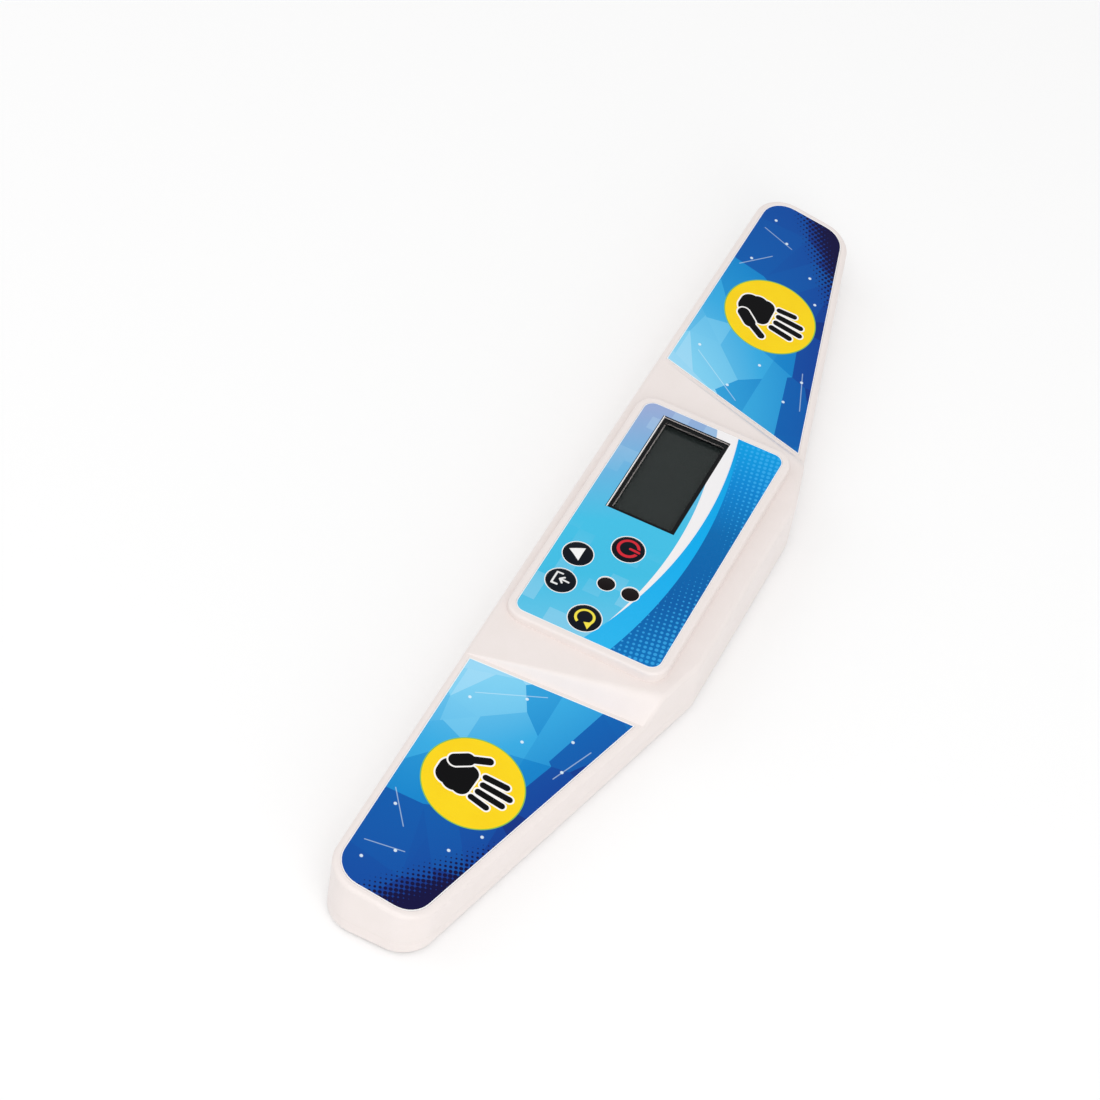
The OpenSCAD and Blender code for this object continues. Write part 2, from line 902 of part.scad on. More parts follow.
module bay_lead(y) {
    solder_x = bay_half_length + tab_length - solder_inset;
    path = smooth([
        [solder_x, y, tab_height + contact_thickness],
        [solder_x + lead_rise[0], y, tab_height + lead_rise[1]],
        [solder_x + lead_bend[0], y, board_bottom - lead_bend[1]],
        [solder_x + lead_reach, y, board_bottom],
    ]);
    seated() tube(path, wire_radius, wire_sides, [0, 1, 0], [[0, 0, 1], [0, 0, 1]]);
}

module lead_positive() {
    color("red") bay_lead(-cell_pitch / 2);
}

module lead_negative() {
    color("black") bay_lead(cell_pitch / 2);
}

// ---- Data jack ----

module jack_body() {
    color("black") seated()
        translate([-half_length + wall, jack_y, jack_height]) difference() {
            translate([0, -jack_body_size[1] / 2, -jack_body_size[2] / 2])
                cube(jack_body_size);
            rotate([0, 90, 0])
                translate([0, 0, -slack])
                    cylinder(r = jack_bore / 2, h = jack_depth - wall + slack);
        }
}

module jack_sleeve() {
    color("silver") seated()
        translate([-half_length, jack_y, jack_height]) rotate([0, 90, 0]) difference() {
            cylinder(r = jack_wall_radius, h = wall);
            translate([0, 0, -slack]) cylinder(r = jack_bore / 2, h = wall + 2 * slack);
        }
}

module jack_leads() {
    start = [jack_end_x, jack_y, jack_height];
    last = jack_route[len(jack_route) - 1];
    color("dimgray") seated()
        for (i = [-1:1]) {
            lane = [for (p = concat([start], jack_route)) p + i * jack_wire_step];
            finish = [last[0], last[1] + i * jack_wire_step[1], board_bottom];
            tube(smooth(concat(lane, [finish])), jack_wire_radius, wire_sides, jack_wire_side,
                [[1, 0, 0], [0, 0, 1]]);
        }
}

// ---- Feet and screws ----

module foot(i) {
    color("dimgray") translate([foot_spots[i][0], foot_spots[i][1], 0])
        cylinder(r = foot_radius, h = foot_height + foot_seat);
}

module cross_recess(size, depth) {
    slot = size / recess_slots;
    for (a = [0, 90])
        rotate([0, 0, a]) translate([-size / 2, -slot / 2, -depth]) cube([size, slot, 2 * depth]);
}

module screw(head_radius, head_height, shank_radius, shank_length) {
    difference() {
        cylinder(r = head_radius, h = head_height);
        cross_recess(recess_span * head_radius, head_height / 2);
    }
    translate([0, 0, head_height]) cylinder(r = shank_radius, h = shank_length);
}

module case_screws() {
    color("silver") seated() at_case_screws()
        translate([0, 0, screw_recess_depth - screw_head_height])
            screw(screw_head_radius, screw_head_height, case_screw_radius, case_screw_length);
}

module board_screws() {
    color("silver") seated() at_board_screws()
        translate([0, 0, board_bottom - board_head_height])
            screw(board_head_radius, board_head_height, board_screw_radius,
                board_thickness + board_screw_grip);
}

top_shell();
bottom_shell();
battery_door();
battery_pad();
panel_label();
pad_sticker(0);  // pad_sticker_left
pad_sticker(1);  // pad_sticker_right
touch_plate(0);  // touch_plate_left
touch_plate(1);  // touch_plate_right
touch_lead(0);  // touch_lead_left
touch_lead(1);  // touch_lead_right
display_lens();
display_glass();
display_frame();
contact_strip();
main_board();
board_chip();
board_crystal();
for (i = [0:len(KEYS) - 1]) {
    key(i);
    plunger(i);
    switch(i);
}
for (i = [0:len(DEPTHS) - 1]) {
    lamp_window(i);
    lamp(i);
    battery(i);
    battery_spring(i);
}
contact_bridge();
contact_positive();
contact_negative();
lead_positive();
lead_negative();
jack_body();
jack_sleeve();
jack_leads();
for (i = [0:len(FEET) - 1]) {
    foot(i);
}
case_screws();
board_screws();
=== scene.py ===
"""Speed cube timer: rounded case, printed panel and pads, keys, display and insides."""

import logging
import math
from contextlib import contextmanager
from dataclasses import dataclass
from enum import Enum
from functools import reduce
from typing import Callable, Iterator, Optional, Sequence, Union

import bpy
from mathutils import Matrix, Quaternion, Vector

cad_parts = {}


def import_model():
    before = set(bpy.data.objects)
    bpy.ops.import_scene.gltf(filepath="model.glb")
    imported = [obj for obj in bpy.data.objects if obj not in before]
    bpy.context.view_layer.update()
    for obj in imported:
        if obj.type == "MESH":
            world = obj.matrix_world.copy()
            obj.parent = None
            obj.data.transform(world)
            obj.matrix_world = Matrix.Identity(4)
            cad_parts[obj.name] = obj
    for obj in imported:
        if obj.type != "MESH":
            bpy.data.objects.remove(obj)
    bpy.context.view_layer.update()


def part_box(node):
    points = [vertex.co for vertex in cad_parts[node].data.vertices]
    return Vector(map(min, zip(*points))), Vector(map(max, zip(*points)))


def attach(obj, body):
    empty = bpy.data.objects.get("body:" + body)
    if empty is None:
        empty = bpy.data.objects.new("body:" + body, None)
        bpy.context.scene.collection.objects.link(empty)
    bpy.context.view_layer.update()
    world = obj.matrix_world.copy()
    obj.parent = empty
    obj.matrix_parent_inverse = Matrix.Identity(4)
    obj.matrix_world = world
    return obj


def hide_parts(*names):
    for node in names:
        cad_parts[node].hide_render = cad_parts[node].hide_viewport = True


LOG = logging.getLogger("cube_timer")
MM = 0.001
# Millimetres within which two heights count as the same.
HAIR = 0.01
Colour = tuple[float, float, float, float]
Point = Sequence[float]
# Tells whether an element is meant, from its middle and its normal or direction.
Test = Callable[[Vector, Vector], bool]


# ---- Modelling bench ----


class Part(Enum):
    """Which elements of a mesh a step works on."""

    EDGES = (False, True, False)
    FACES = (False, False, True)


class Join(Enum):
    """Ways in which one solid acts on another."""

    ADD = "UNION"
    CUT = "DIFFERENCE"
    KEEP_COMMON = "INTERSECT"


class Bench:
    """Modelling steps on one object at a time, in millimetres."""

    NODE_GAP = 0.002
    NODE_TURN = math.radians(0.2)
    SLIVER_GAP = 0.004
    SLIVER_TURN = math.radians(0.1)
    WIRE_GAP = 0.001

    @staticmethod
    def pick(obj: bpy.types.Object) -> None:
        """Select one object alone and make it active.

        Args:
            obj: The object.
        """
        bpy.ops.object.select_all(action="DESELECT")
        obj.select_set(True)
        bpy.context.view_layer.objects.active = obj

    @staticmethod
    @contextmanager
    def editing(
        obj: bpy.types.Object, part: Part = Part.FACES, test: Optional[Test] = None
    ) -> Iterator[None]:
        """Open a mesh in edit mode with elements selected, and close it again.

        Args:
            obj: The object to edit.
            part: Edges or faces.
            test: Which of them. Without a test everything is selected.
        """
        Bench.pick(obj)
        mesh = obj.data
        bpy.context.tool_settings.mesh_select_mode = part.value
        for group in (mesh.vertices, mesh.edges, mesh.polygons):
            group.foreach_set("select", [test is None] * len(group))
        if test and part is Part.EDGES:
            for edge in mesh.edges:
                a, b = (mesh.vertices[i].co for i in edge.vertices)
                edge.select = test((a + b) / 2, (b - a).normalized())
        elif test:
            for face in mesh.polygons:
                face.select = test(face.center, face.normal)
        bpy.ops.object.mode_set(mode="EDIT")
        yield
        bpy.ops.object.mode_set(mode="OBJECT")

    @staticmethod
    def apply() -> None:
        """Put the active object's place, turn and size into its mesh."""
        bpy.ops.object.transform_apply(location=True, rotation=True, scale=True)

    @staticmethod
    def block(name: str, low: Point, high: Point) -> bpy.types.Object:
        """Add a block between two corners.

        Args:
            name: The object's name.
            low: Lowest corner.
            high: Highest corner.

        Returns:
            The block, with its place in its mesh.
        """
        bpy.ops.object.select_all(action="DESELECT")
        middle = (Vector(low) + Vector(high)) / 2
        bpy.ops.mesh.primitive_cube_add(size=1, location=middle)
        obj = bpy.context.object
        obj.name = name
        obj.scale = Vector(high) - Vector(low)
        Bench.apply()
        return obj

    @staticmethod
    def drum(
        name: str, foot: Point, radius: float, height: float, sides: int = 64
    ) -> bpy.types.Object:
        """Add an upright drum.

        Args:
            name: The object's name.
            foot: Middle of its lower face.
            radius: Its radius.
            height: Its height.
            sides: Faces round it.

        Returns:
            The drum, with its place in its mesh.
        """
        bpy.ops.object.select_all(action="DESELECT")
        middle = Vector(foot) + Vector((0, 0, height / 2))
        bpy.ops.mesh.primitive_cylinder_add(
            vertices=sides, radius=radius, depth=height, location=middle
        )
        obj = bpy.context.object
        obj.name = name
        Bench.apply()
        return obj

    @staticmethod
    def lay_along_x(obj: bpy.types.Object, start: Point, towards: int) -> None:
        """Turn an upright piece that stands on the origin so that it lies along x.

        Args:
            obj: The piece.
            start: Where the middle of its foot goes.
            towards: 1 for a piece that then points to +x, -1 for one to -x.
        """
        Bench.pick(obj)
        obj.rotation_euler = (0, math.radians(90) * towards, 0)
        obj.location = start
        Bench.apply()

    @staticmethod
    def wire(name: str, route: Sequence[Point], radius: float) -> bpy.types.Object:
        """Bend a round wire along a route, with closed ends.

        Args:
            name: The object's name.
            route: Points that the wire's middle passes.
            radius: Its radius.

        Returns:
            The wire as a mesh.
        """
        curve = bpy.data.curves.new(name, "CURVE")
        curve.dimensions = "3D"
        curve.bevel_depth = radius
        curve.bevel_resolution = 3
        curve.use_fill_caps = True
        line = curve.splines.new("POLY")
        line.points.add(len(route) - 1)
        for point, spot in zip(line.points, route):
            point.co = (*spot, 1.0)
        obj = bpy.data.objects.new(name, curve)
        bpy.context.collection.objects.link(obj)
        Bench.pick(obj)
        bpy.ops.object.convert(target="MESH")
        obj = bpy.context.object
        with Bench.editing(obj):
            bpy.ops.mesh.remove_doubles(threshold=Bench.WIRE_GAP)
            bpy.ops.mesh.normals_make_consistent(inside=False)
        return obj

    @staticmethod
    def copy_of_node(node: str, name: str) -> bpy.types.Object:
        """Copy a CAD node in millimetres, with its doubles merged.

        Args:
            node: The node's name.
            name: The copy's name.

        Returns:
            The copy, closed and with large flat faces.
        """
        source = frame_object(node)
        obj = source.copy()
        obj.data = source.data.copy()
        obj.name = name
        obj.modifiers.clear()
        for key in list(obj.keys()):
            del obj[key]
        bpy.context.collection.objects.link(obj)
        obj.hide_render = False
        obj.hide_viewport = False
        obj.parent = None
        obj.matrix_world = Matrix.Identity(4)
        with Bench.editing(obj):
            bpy.ops.transform.resize(value=(1 / MM,) * 3, center_override=(0, 0, 0))
            bpy.ops.mesh.remove_doubles(threshold=Bench.NODE_GAP)
            bpy.ops.mesh.dissolve_limited(angle_limit=Bench.NODE_TURN)
        return obj

    @staticmethod
    def inset(
        obj: bpy.types.Object, steps: Sequence[tuple[float, float]], test: Test
    ) -> None:
        """Inset faces several times, each by a thickness and a depth.

        Args:
            obj: The object to work on.
            steps: Thickness and depth of each inset.
            test: Which faces.
        """
        with Bench.editing(obj, Part.FACES, test):
            for thickness, depth in steps:
                bpy.ops.mesh.inset(thickness=thickness, depth=depth)

    @staticmethod
    def bevel(obj: bpy.types.Object, width: float, segments: int, test: Test) -> None:
        """Round edges.

        Args:
            obj: The object to work on.
            width: Distance of the rounding's edge from the old edge.
            segments: Faces across the rounding.
            test: Which edges.
        """
        with Bench.editing(obj, Part.EDGES, test):
            bpy.ops.mesh.bevel(offset=width, segments=segments, profile=0.5)

    @staticmethod
    def slice(obj: bpy.types.Object, point: Point, normal: Point, clear: bool) -> None:
        """Cut a mesh along a plane.

        Args:
            obj: The object to work on.
            point: A point of the plane.
            normal: The plane's normal.
            clear: Whether what lies on the normal's side goes, and is closed.
        """
        with Bench.editing(obj):
            bpy.ops.mesh.bisect(
                plane_co=point, plane_no=normal, clear_outer=clear, use_fill=clear
            )

    @staticmethod
    def join(obj: bpy.types.Object, other: bpy.types.Object, way: Join) -> None:
        """Let another solid act on an object, then remove it.

        Args:
            obj: The object that stays.
            other: The solid that acts on it.
            way: How it acts.
        """
        step = obj.modifiers.new("join", "BOOLEAN")
        step.operation = way.value
        step.solver = "EXACT"
        step.object = other
        Bench.pick(obj)
        bpy.ops.object.modifier_apply(modifier=step.name)
        bpy.data.objects.remove(other, do_unlink=True)

    @staticmethod
    def clean(obj: bpy.types.Object) -> None:
        """Merge the slivers that joining leaves, and dissolve needless edges.

        Args:
            obj: The object to work on.
        """
        with Bench.editing(obj):
            bpy.ops.mesh.remove_doubles(threshold=Bench.SLIVER_GAP)
            bpy.ops.mesh.dissolve_degenerate(threshold=Bench.SLIVER_GAP)
            bpy.ops.mesh.dissolve_limited(angle_limit=Bench.SLIVER_TURN)

    @staticmethod
    def settle(
        obj: bpy.types.Object,
        materials: Sequence[bpy.types.Material],
        body: str,
        slot: str,
        nodes: Sequence[str] = (),
        crease: float = 32,
    ) -> bpy.types.Object:
        """Finish a piece: its size in metres, shading, finish, body and node.

        Args:
            obj: The piece, in millimetres.
            materials: Its materials, in the order of its material indices.
            body: The body that it rides on.
            slot: Not used.
            nodes: The CAD nodes that it replaces.
            crease: Angle in degrees past which an edge stays sharp.

        Returns:
            The finished piece.
        """
        Bench.pick(obj)
        obj.scale = (MM, MM, MM)
        Bench.apply()
        bpy.ops.object.shade_smooth()
        with Bench.editing(obj, Part.EDGES, lambda m, w: False):
            bpy.ops.mesh.edges_select_sharp(sharpness=math.radians(crease))
            bpy.ops.mesh.mark_sharp()
        normals = obj.modifiers.new("normals", "WEIGHTED_NORMAL")
        normals.keep_sharp = True
        bpy.ops.object.modifier_apply(modifier=normals.name)
        kept = [face.material_index for face in obj.data.polygons]
        obj.data.materials.clear()
        for material in materials:
            obj.data.materials.append(material)
        obj.data.polygons.foreach_set("material_index", kept)
        obj.data.name = obj.name
        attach(obj, body)
        if nodes:
            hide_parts(*nodes)
        LOG.info("%s: %d faces on %s", obj.name, len(obj.data.polygons), body)
        return obj


def upright(middle: Vector, run: Vector) -> bool:
    """Tell an edge that stands upright."""
    return abs(run.z) > 0.9


def frame_object(node: str) -> bpy.types.Object:
    """Return the object of a CAD node."""
    return bpy.data.objects[node]


def span_mm(node: str) -> tuple[Vector, Vector]:
    """Return a node's lowest and highest corners in millimetres."""
    low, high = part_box(node)
    return Vector(low) / MM, Vector(high) / MM


# ---- Material sheets ----


def paint(code: str, alpha: float = 1.0) -> Colour:
    """Turn a screen colour such as #e8e0dc into a linear colour.

    Args:
        code: Six hexadecimal digits after a hash.
        alpha: Opacity.

    Returns:
        Linear red, green, blue and alpha.
    """
    parts = [int(code[i : i + 2], 16) / 255 for i in (1, 3, 5)]
    linear = [c / 12.92 if c <= 0.04045 else ((c + 0.055) / 1.055) ** 2.4 for c in parts]
    return (linear[0], linear[1], linear[2], alpha)


class Wire:
    """A value inside a material sheet, with arithmetic."""

    def __init__(self, sheet: "Sheet", socket: bpy.types.NodeSocket) -> None:
        """Keep the sheet and the socket that the value comes from."""
        self.sheet = sheet
        self.socket = socket

    def math(self, kind: str, other: "Number" = 0.0, clamp: bool = False) -> "Wire":
        """Add one Math node.

        Args:
            kind: The node's operation.
            other: The second value.
            clamp: Whether the result is kept between 0 and 1.

        Returns:
            The result.
        """
        node = self.sheet.node("ShaderNodeMath", operation=kind, use_clamp=clamp)
        self.sheet.feed(node.inputs[0], self)
        self.sheet.feed(node.inputs[1], other)
        return Wire(self.sheet, node.outputs[0])

    def __add__(self, other: "Number") -> "Wire":
        """Add."""
        return self.math("ADD", other)

    def __sub__(self, other: "Number") -> "Wire":
        """Subtract."""
        return self.math("SUBTRACT", other)

    def __mul__(self, other: "Number") -> "Wire":
        """Multiply."""
        return self.math("MULTIPLY", other)

    def least(self, other: "Number") -> "Wire":
        """Take the smaller of two values."""
        return self.math("MINIMUM", other)

    def most(self, other: "Number") -> "Wire":
        """Take the larger of two values."""
        return self.math("MAXIMUM", other)

    def size(self) -> "Wire":
        """Drop the sign."""
        return self.math("ABSOLUTE")

    def within_cell(self) -> "Wire":
        """Keep the part after the point, less a half."""
        return self.math("FRACT").math("SUBTRACT", 0.5)

    def below(self, edge: "Number", soft: float = 0.06) -> "Wire":
        """Give 1 where the value is below an edge and 0 above it.

        Args:
            edge: The edge.
            soft: Width of the change.

        Returns:
            A mask.
        """
        turned = (self - edge) * (-1.0 / soft)
        return turned.math("ADD", 0.5, clamp=True)

    def above(self, edge: "Number", soft: float = 0.06) -> "Wire":
        """Give 1 where the value is above an edge and 0 below it."""
        turned = (self - edge) * (1.0 / soft)
        return turned.math("ADD", 0.5, clamp=True)

    def clamped(self) -> "Wire":
        """Keep the value between 0 and 1."""
        return self.math("ADD", 0.0, clamp=True)


Number = Union[Wire, float]
Tint = Union[Wire, Colour]


class Sheet:
    """The node sheet of one material, with its Principled shader."""

    def __init__(self, name: str) -> None:
        """Start a material with a plain shader.

        Args:
            name: The material's name.
        """
        self.material = bpy.data.materials.new(name)
        self.material.use_nodes = True
        self.tree = self.material.node_tree
        self.shader = self.tree.nodes["Principled BSDF"]
        self._place: Optional[tuple[Wire, Wire, Wire]] = None

    def node(self, kind: str, **settings: object) -> bpy.types.Node:
        """Add a node and set its properties.

        Args:
            kind: The node's type.
            settings: Its properties by name.

        Returns:
            The node.
        """
        node = self.tree.nodes.new(kind)
        for key, value in settings.items():
            setattr(node, key, value)
        return node

    def feed(self, socket: bpy.types.NodeSocket, value: object) -> None:
        """Link a wire to a socket, or set the socket's own value.

        Args:
            socket: The socket.
            value: A wire, or the value itself.
        """
        if isinstance(value, Wire):
            self.tree.links.new(value.socket, socket)
        else:
            socket.default_value = value

    def set(self, **values: object) -> None:
        """Set inputs of the shader, named with underscores for spaces."""
        for key, value in values.items():
            self.feed(self.shader.inputs[key.replace("_", " ")], value)

    def object_vector(self) -> Wire:
        """Bring the object coordinates to millimetres.

        Returns:
            The coordinates.
        """
        spot = self.node("ShaderNodeTexCoord")
        grow = self.node("ShaderNodeVectorMath", operation="SCALE")
        self.tree.links.new(spot.outputs["Object"], grow.inputs[0])
        grow.inputs["Scale"].default_value = 1 / MM
        return Wire(self, grow.outputs[0])

    def place(self) -> tuple[Wire, Wire, Wire]:
        """Split the place, once for each sheet.

        Returns:
            x, y and z in millimetres.
        """
        if self._place is None:
            split = self.node("ShaderNodeSeparateXYZ")
            self.feed(split.inputs[0], self.object_vector())
            self._place = tuple(Wire(self, out) for out in split.outputs)
        return self._place

    def flat(self, x: Number, y: Number) -> Wire:
        """Join x and y to a vector of height 0.

        Args:
            x: Place along x.
            y: Place along y.

        Returns:
            The vector.
        """
        node = self.node("ShaderNodeCombineXYZ")
        self.feed(node.inputs[0], x)
        self.feed(node.inputs[1], y)
        return Wire(self, node.outputs[0])

    def vector(self, kind: str, a: object, b: object, out: str = "Vector") -> Wire:
        """Add one Vector Math node.

        Args:
            kind: The node's operation.
            a: First value.
            b: Second value.
            out: Name of the output that is wanted.

        Returns:
            That output.
        """
        node = self.node("ShaderNodeVectorMath", operation=kind)
        self.feed(node.inputs[0], a)
        self.feed(node.inputs[1], b)
        return Wire(self, node.outputs[out])

    def away_from(self, spot: Wire, centre: Point) -> Wire:
        """Return the distance of a flat spot from a centre."""
        return self.vector("DISTANCE", spot, (centre[0], centre[1], 0.0), "Value")

    def stick(self, spot: Wire, a: Point, b: Point, radius: float) -> Wire:
        """Return the distance of a flat spot from a round-ended stick.

        Args:
            spot: The spot, of height 0.
            a: Middle of one end.
            b: Middle of the other end.
            radius: Half of the stick's width.

        Returns:
            The distance, below 0 inside the stick.
        """
        run = Vector((b[0] - a[0], b[1] - a[1], 0.0))
        reach = self.vector("SUBTRACT", spot, (a[0], a[1], 0.0))
        share = self.vector("DOT_PRODUCT", reach, run / run.length_squared, "Value")
        along = self.node("ShaderNodeVectorMath", operation="SCALE")
        along.inputs[0].default_value = run
        self.feed(along.inputs["Scale"], share.clamped())
        nearest = Wire(self, along.outputs[0])
        return self.vector("DISTANCE", reach, nearest, "Value") - radius

    def wedge(self, x: Wire, y: Wire, corners: Sequence[Point]) -> Wire:
        """Return the distance from a filled shape with straight sides.

        Args:
            x: Place along x.
            y: Place along y.
            corners: Its corners, anticlockwise.

        Returns:
            The distance, below 0 inside the shape.
        """
        sides = []
        for a, b in zip(corners, [*corners[1:], corners[0]]):
            run = math.hypot(b[0] - a[0], b[1] - a[1])
            out_x, out_y = (b[1] - a[1]) / run, (a[0] - b[0]) / run
            sides.append((x - a[0]) * out_x + (y - a[1]) * out_y)
        return reduce(Wire.most, sides)

    def oblong(self, middle: Point, half_size: Point) -> Wire:
        """Return the distance from an oblong on the plan.

        Args:
            middle: Its middle.
            half_size: Half its length and half its width.

        Returns:
            The distance, below 0 inside the oblong.
        """
        x, y, _ = self.place()
        along = (x - middle[0]).size() - half_size[0]
        across = (y - middle[1]).size() - half_size[1]
        return along.most(across)

    def mix(self, share: Number, a: Tint, b: Tint) -> Wire:
        """Blend two colours.

        Args:
            share: How much of the second colour.
            a: First colour.
            b: Second colour.

        Returns:
            The blend.
        """
        node = self.node("ShaderNodeMix", data_type="RGBA")
        self.feed(node.inputs[0], share)
        self.feed(node.inputs[6], a)
        self.feed(node.inputs[7], b)
        return Wire(self, node.outputs[2])

    def ramp(self, value: Wire, stops: Sequence[tuple[float, str]]) -> Wire:
        """Turn a value into a colour along a row of colour stops.

        Args:
            value: The value, from 0 to 1.
            stops: Place and colour of each stop.

        Returns:
            The colour.
        """
        node = self.node("ShaderNodeValToRGB")
        row = node.color_ramp.elements
        while len(row) < len(stops):
            row.new(0.5)
        for element, (spot, code) in zip(row, stops):
            element.position = spot
            element.color = paint(code)
        self.feed(node.inputs[0], value)
        return Wire(self, node.outputs[0])

    def noise(self, size: float, detail: float = 3.0, stretch: Point = (1, 1, 1)) -> Wire:
        """Return soft noise between 0 and 1.

        Args:
            size: Size of its blotches in millimetres.
            detail: Finer layers.
            stretch: How much finer it is along x, y and z.

        Returns:
            The noise.
        """
        squeeze = self.vector("MULTIPLY", self.object_vector(), tuple(stretch))
        node = self.node("ShaderNodeTexNoise")
        node.inputs["Scale"].default_value = 1 / size
        node.inputs["Detail"].default_value = detail
        self.feed(node.inputs["Vector"], squeeze)
        return Wire(self, node.outputs[0])

    def dots(self, u: Wire, v: Wire, pitch: float) -> Wire:
        """Measure how far the nearest dot of a square grid is.

        Args:
            u: Place along the grid.
            v: Place across it.
            pitch: Distance between dots in millimetres.

        Returns:
            The distance in pitches.
        """
        column = (u * (1 / pitch)).within_cell()
        row = (v * (1 / pitch)).within_cell()
        return self.away_from(self.flat(column, row), (0, 0))

    def relief(self, height: Wire, depth: float) -> None:
        """Bump the surface.

        Args:
            height: Height from 0 to 1.
            depth: What a height of 1 stands for in millimetres.
        """
        node = self.node("ShaderNodeBump")
        node.inputs["Strength"].default_value = 1.0
        node.inputs["Distance"].default_value = depth * MM
        self.feed(node.inputs["Height"], height)
        self.tree.links.new(node.outputs[0], self.shader.inputs["Normal"])


@dataclass(frozen=True)
class Finish:
    """A plain finish: colour, shine, and the fine unevenness of the real surface."""

    name: str
    colour: str
    second: str
    roughness: float = 0.4
    spread: float = 0.06
    metallic: float = 0.0
    blotch: float = 6.0
    grain: float = 0.35
    depth: float = 0.004
    stretch: tuple[float, float, float] = (1.0, 1.0, 1.0)
    coat: float = 0.0
    specular: float = 0.5
    blotch_share: float = 0.7

    def make(self) -> bpy.types.Material:
        """Build the material.

        Returns:
            The material.
        """
        sheet = Sheet(self.name)
        blotches = sheet.noise(self.blotch, 4.0, self.stretch)
        grain = sheet.noise(self.grain, 2.0, self.stretch)
        share = blotches * self.blotch_share + grain * (1 - self.blotch_share)
        sheet.set(
            Base_Color=sheet.mix(
                share.above(0.5, 0.5), paint(self.colour), paint(self.second)
            ),
            Roughness=(grain - 0.5) * self.spread + self.roughness,
            Metallic=self.metallic,
            Coat_Weight=self.coat,
            Specular_IOR_Level=self.specular,
        )
        sheet.relief(grain, self.depth)
        return sheet.material


CASE_WHITE = Finish("case_white", "#f0e7e4", "#ece3df", 0.34, 0.05, grain=0.5, depth=0.003)
STICKER_WHITE = Finish("sticker_white", "#fbfafa", "#f6f5f5", 0.3, 0.04)
PRINT_BLACK = Finish("print_black", "#0a0c0e", "#0e1012", 0.24, 0.05, specular=0.1)
FOOT_RUBBER = Finish("foot_rubber", "#202122", "#2b2c2d", 0.75, 0.1, grain=0.25, depth=0.02)
FOAM = Finish("pad_foam", "#17181a", "#26282b", 0.95, 0.05, grain=0.3, depth=0.12)
STEEL = Finish(
    "nickel_steel", "#b9b9ba", "#a4a4a6", 0.26, 0.12, 1.0, stretch=(0.2, 2.0, 2.0)
)
CONTACT = Finish("contact_plate", "#c4bda8", "#b3ab95", 0.3, 0.12, 1.0)
COPPER = Finish("copper_foil", "#c9825c", "#b9734f", 0.35, 0.15, 1.0, depth=0.01)
BOARD = Finish("circuit_board", "#0f4f27", "#0b3f20", 0.35, 0.08, grain=0.8, coat=0.4)
RESIN = Finish("chip_resin", "#101010", "#1a1a1a", 0.3, 0.1, blotch=2.0)
SWITCH = Finish("switch_plastic", "#1a1b1d", "#232427", 0.5, 0.08)
WHITE_PLASTIC = Finish("plunger_plastic", "#e2e2de", "#d8d8d3", 0.45, 0.08)
STRIP = Finish("strip_rubber", "#c98a98", "#8d4552", 0.6, 0.1, stretch=(6.0, 0.1, 0.1))
RED_LEAD = Finish("red_lead", "#a81914", "#8f1310", 0.45, 0.08)
BLACK_LEAD = Finish("black_lead", "#141414", "#1d1d1d", 0.45, 0.08)
GREY_LEAD = Finish("grey_lead", "#6e7073", "#5f6164", 0.45, 0.08)
LAMP_RESIN = Finish("lamp_resin", "#8a1512", "#6d0f0d", 0.2, 0.05, coat=0.5)
FRAME_BLACK = Finish("frame_black", "#141516", "#1b1c1d", 0.5, 0.08)
GLASS_EDGE = Finish("glass_edge", "#5d6b66", "#54615c", 0.15, 0.05)
LAMP_WINDOW = Finish("lamp_smoked", "#15080c", "#0c0507", 0.14, 0.04, specular=0.1)


@dataclass(frozen=True)
class DisplayFinish:
    """Dark liquid crystal glass, switched off, with its seal line."""

    middle: tuple[float, float]
    half_size: tuple[float, float]
    glass: str = "#2a302f"
    second: str = "#262c2b"
    seal: str = "#3a4042"
    line: str = "#22272a"
    seal_width: float = 1.6
    line_width: float = 0.28

    def make(self) -> bpy.types.Material:
        """Build the material.

        Returns:
            The material.
        """
        sheet = Sheet("display_dark")
        rim = sheet.oblong(self.middle, [half - self.seal_width for half in self.half_size])
        cloud = sheet.noise(9.0)
        ground = sheet.mix(cloud, paint(self.glass), paint(self.second))
        ground = sheet.mix(rim.above(0.0, 0.1), ground, paint(self.seal))
        line = rim.size().below(self.line_width / 2, 0.1)
        sheet.set(
            Base_Color=sheet.mix(line, ground, paint(self.line)),
            Roughness=sheet.noise(2.0) * 0.05 + 0.22,
            Specular_IOR_Level=0.2,
        )
        return sheet.material


@dataclass(frozen=True)
class ClearFinish:
    """Clear plastic window with a faint haze, and no glare of its own."""

    tint: str = "#1b1f1f"
    second: str = "#202424"
    opacity: float = 0.04

    def make(self) -> bpy.types.Material:
        """Build the material.

        Returns:
            The material.
        """
        sheet = Sheet("lens_clear")
        sheet.set(
            Base_Color=sheet.mix(sheet.noise(5.0), paint(self.tint), paint(self.second)),
            Roughness=sheet.noise(3.0) * 0.04 + 0.05,
            Alpha=self.opacity,
            Specular_IOR_Level=0.0,
        )
        return sheet.material


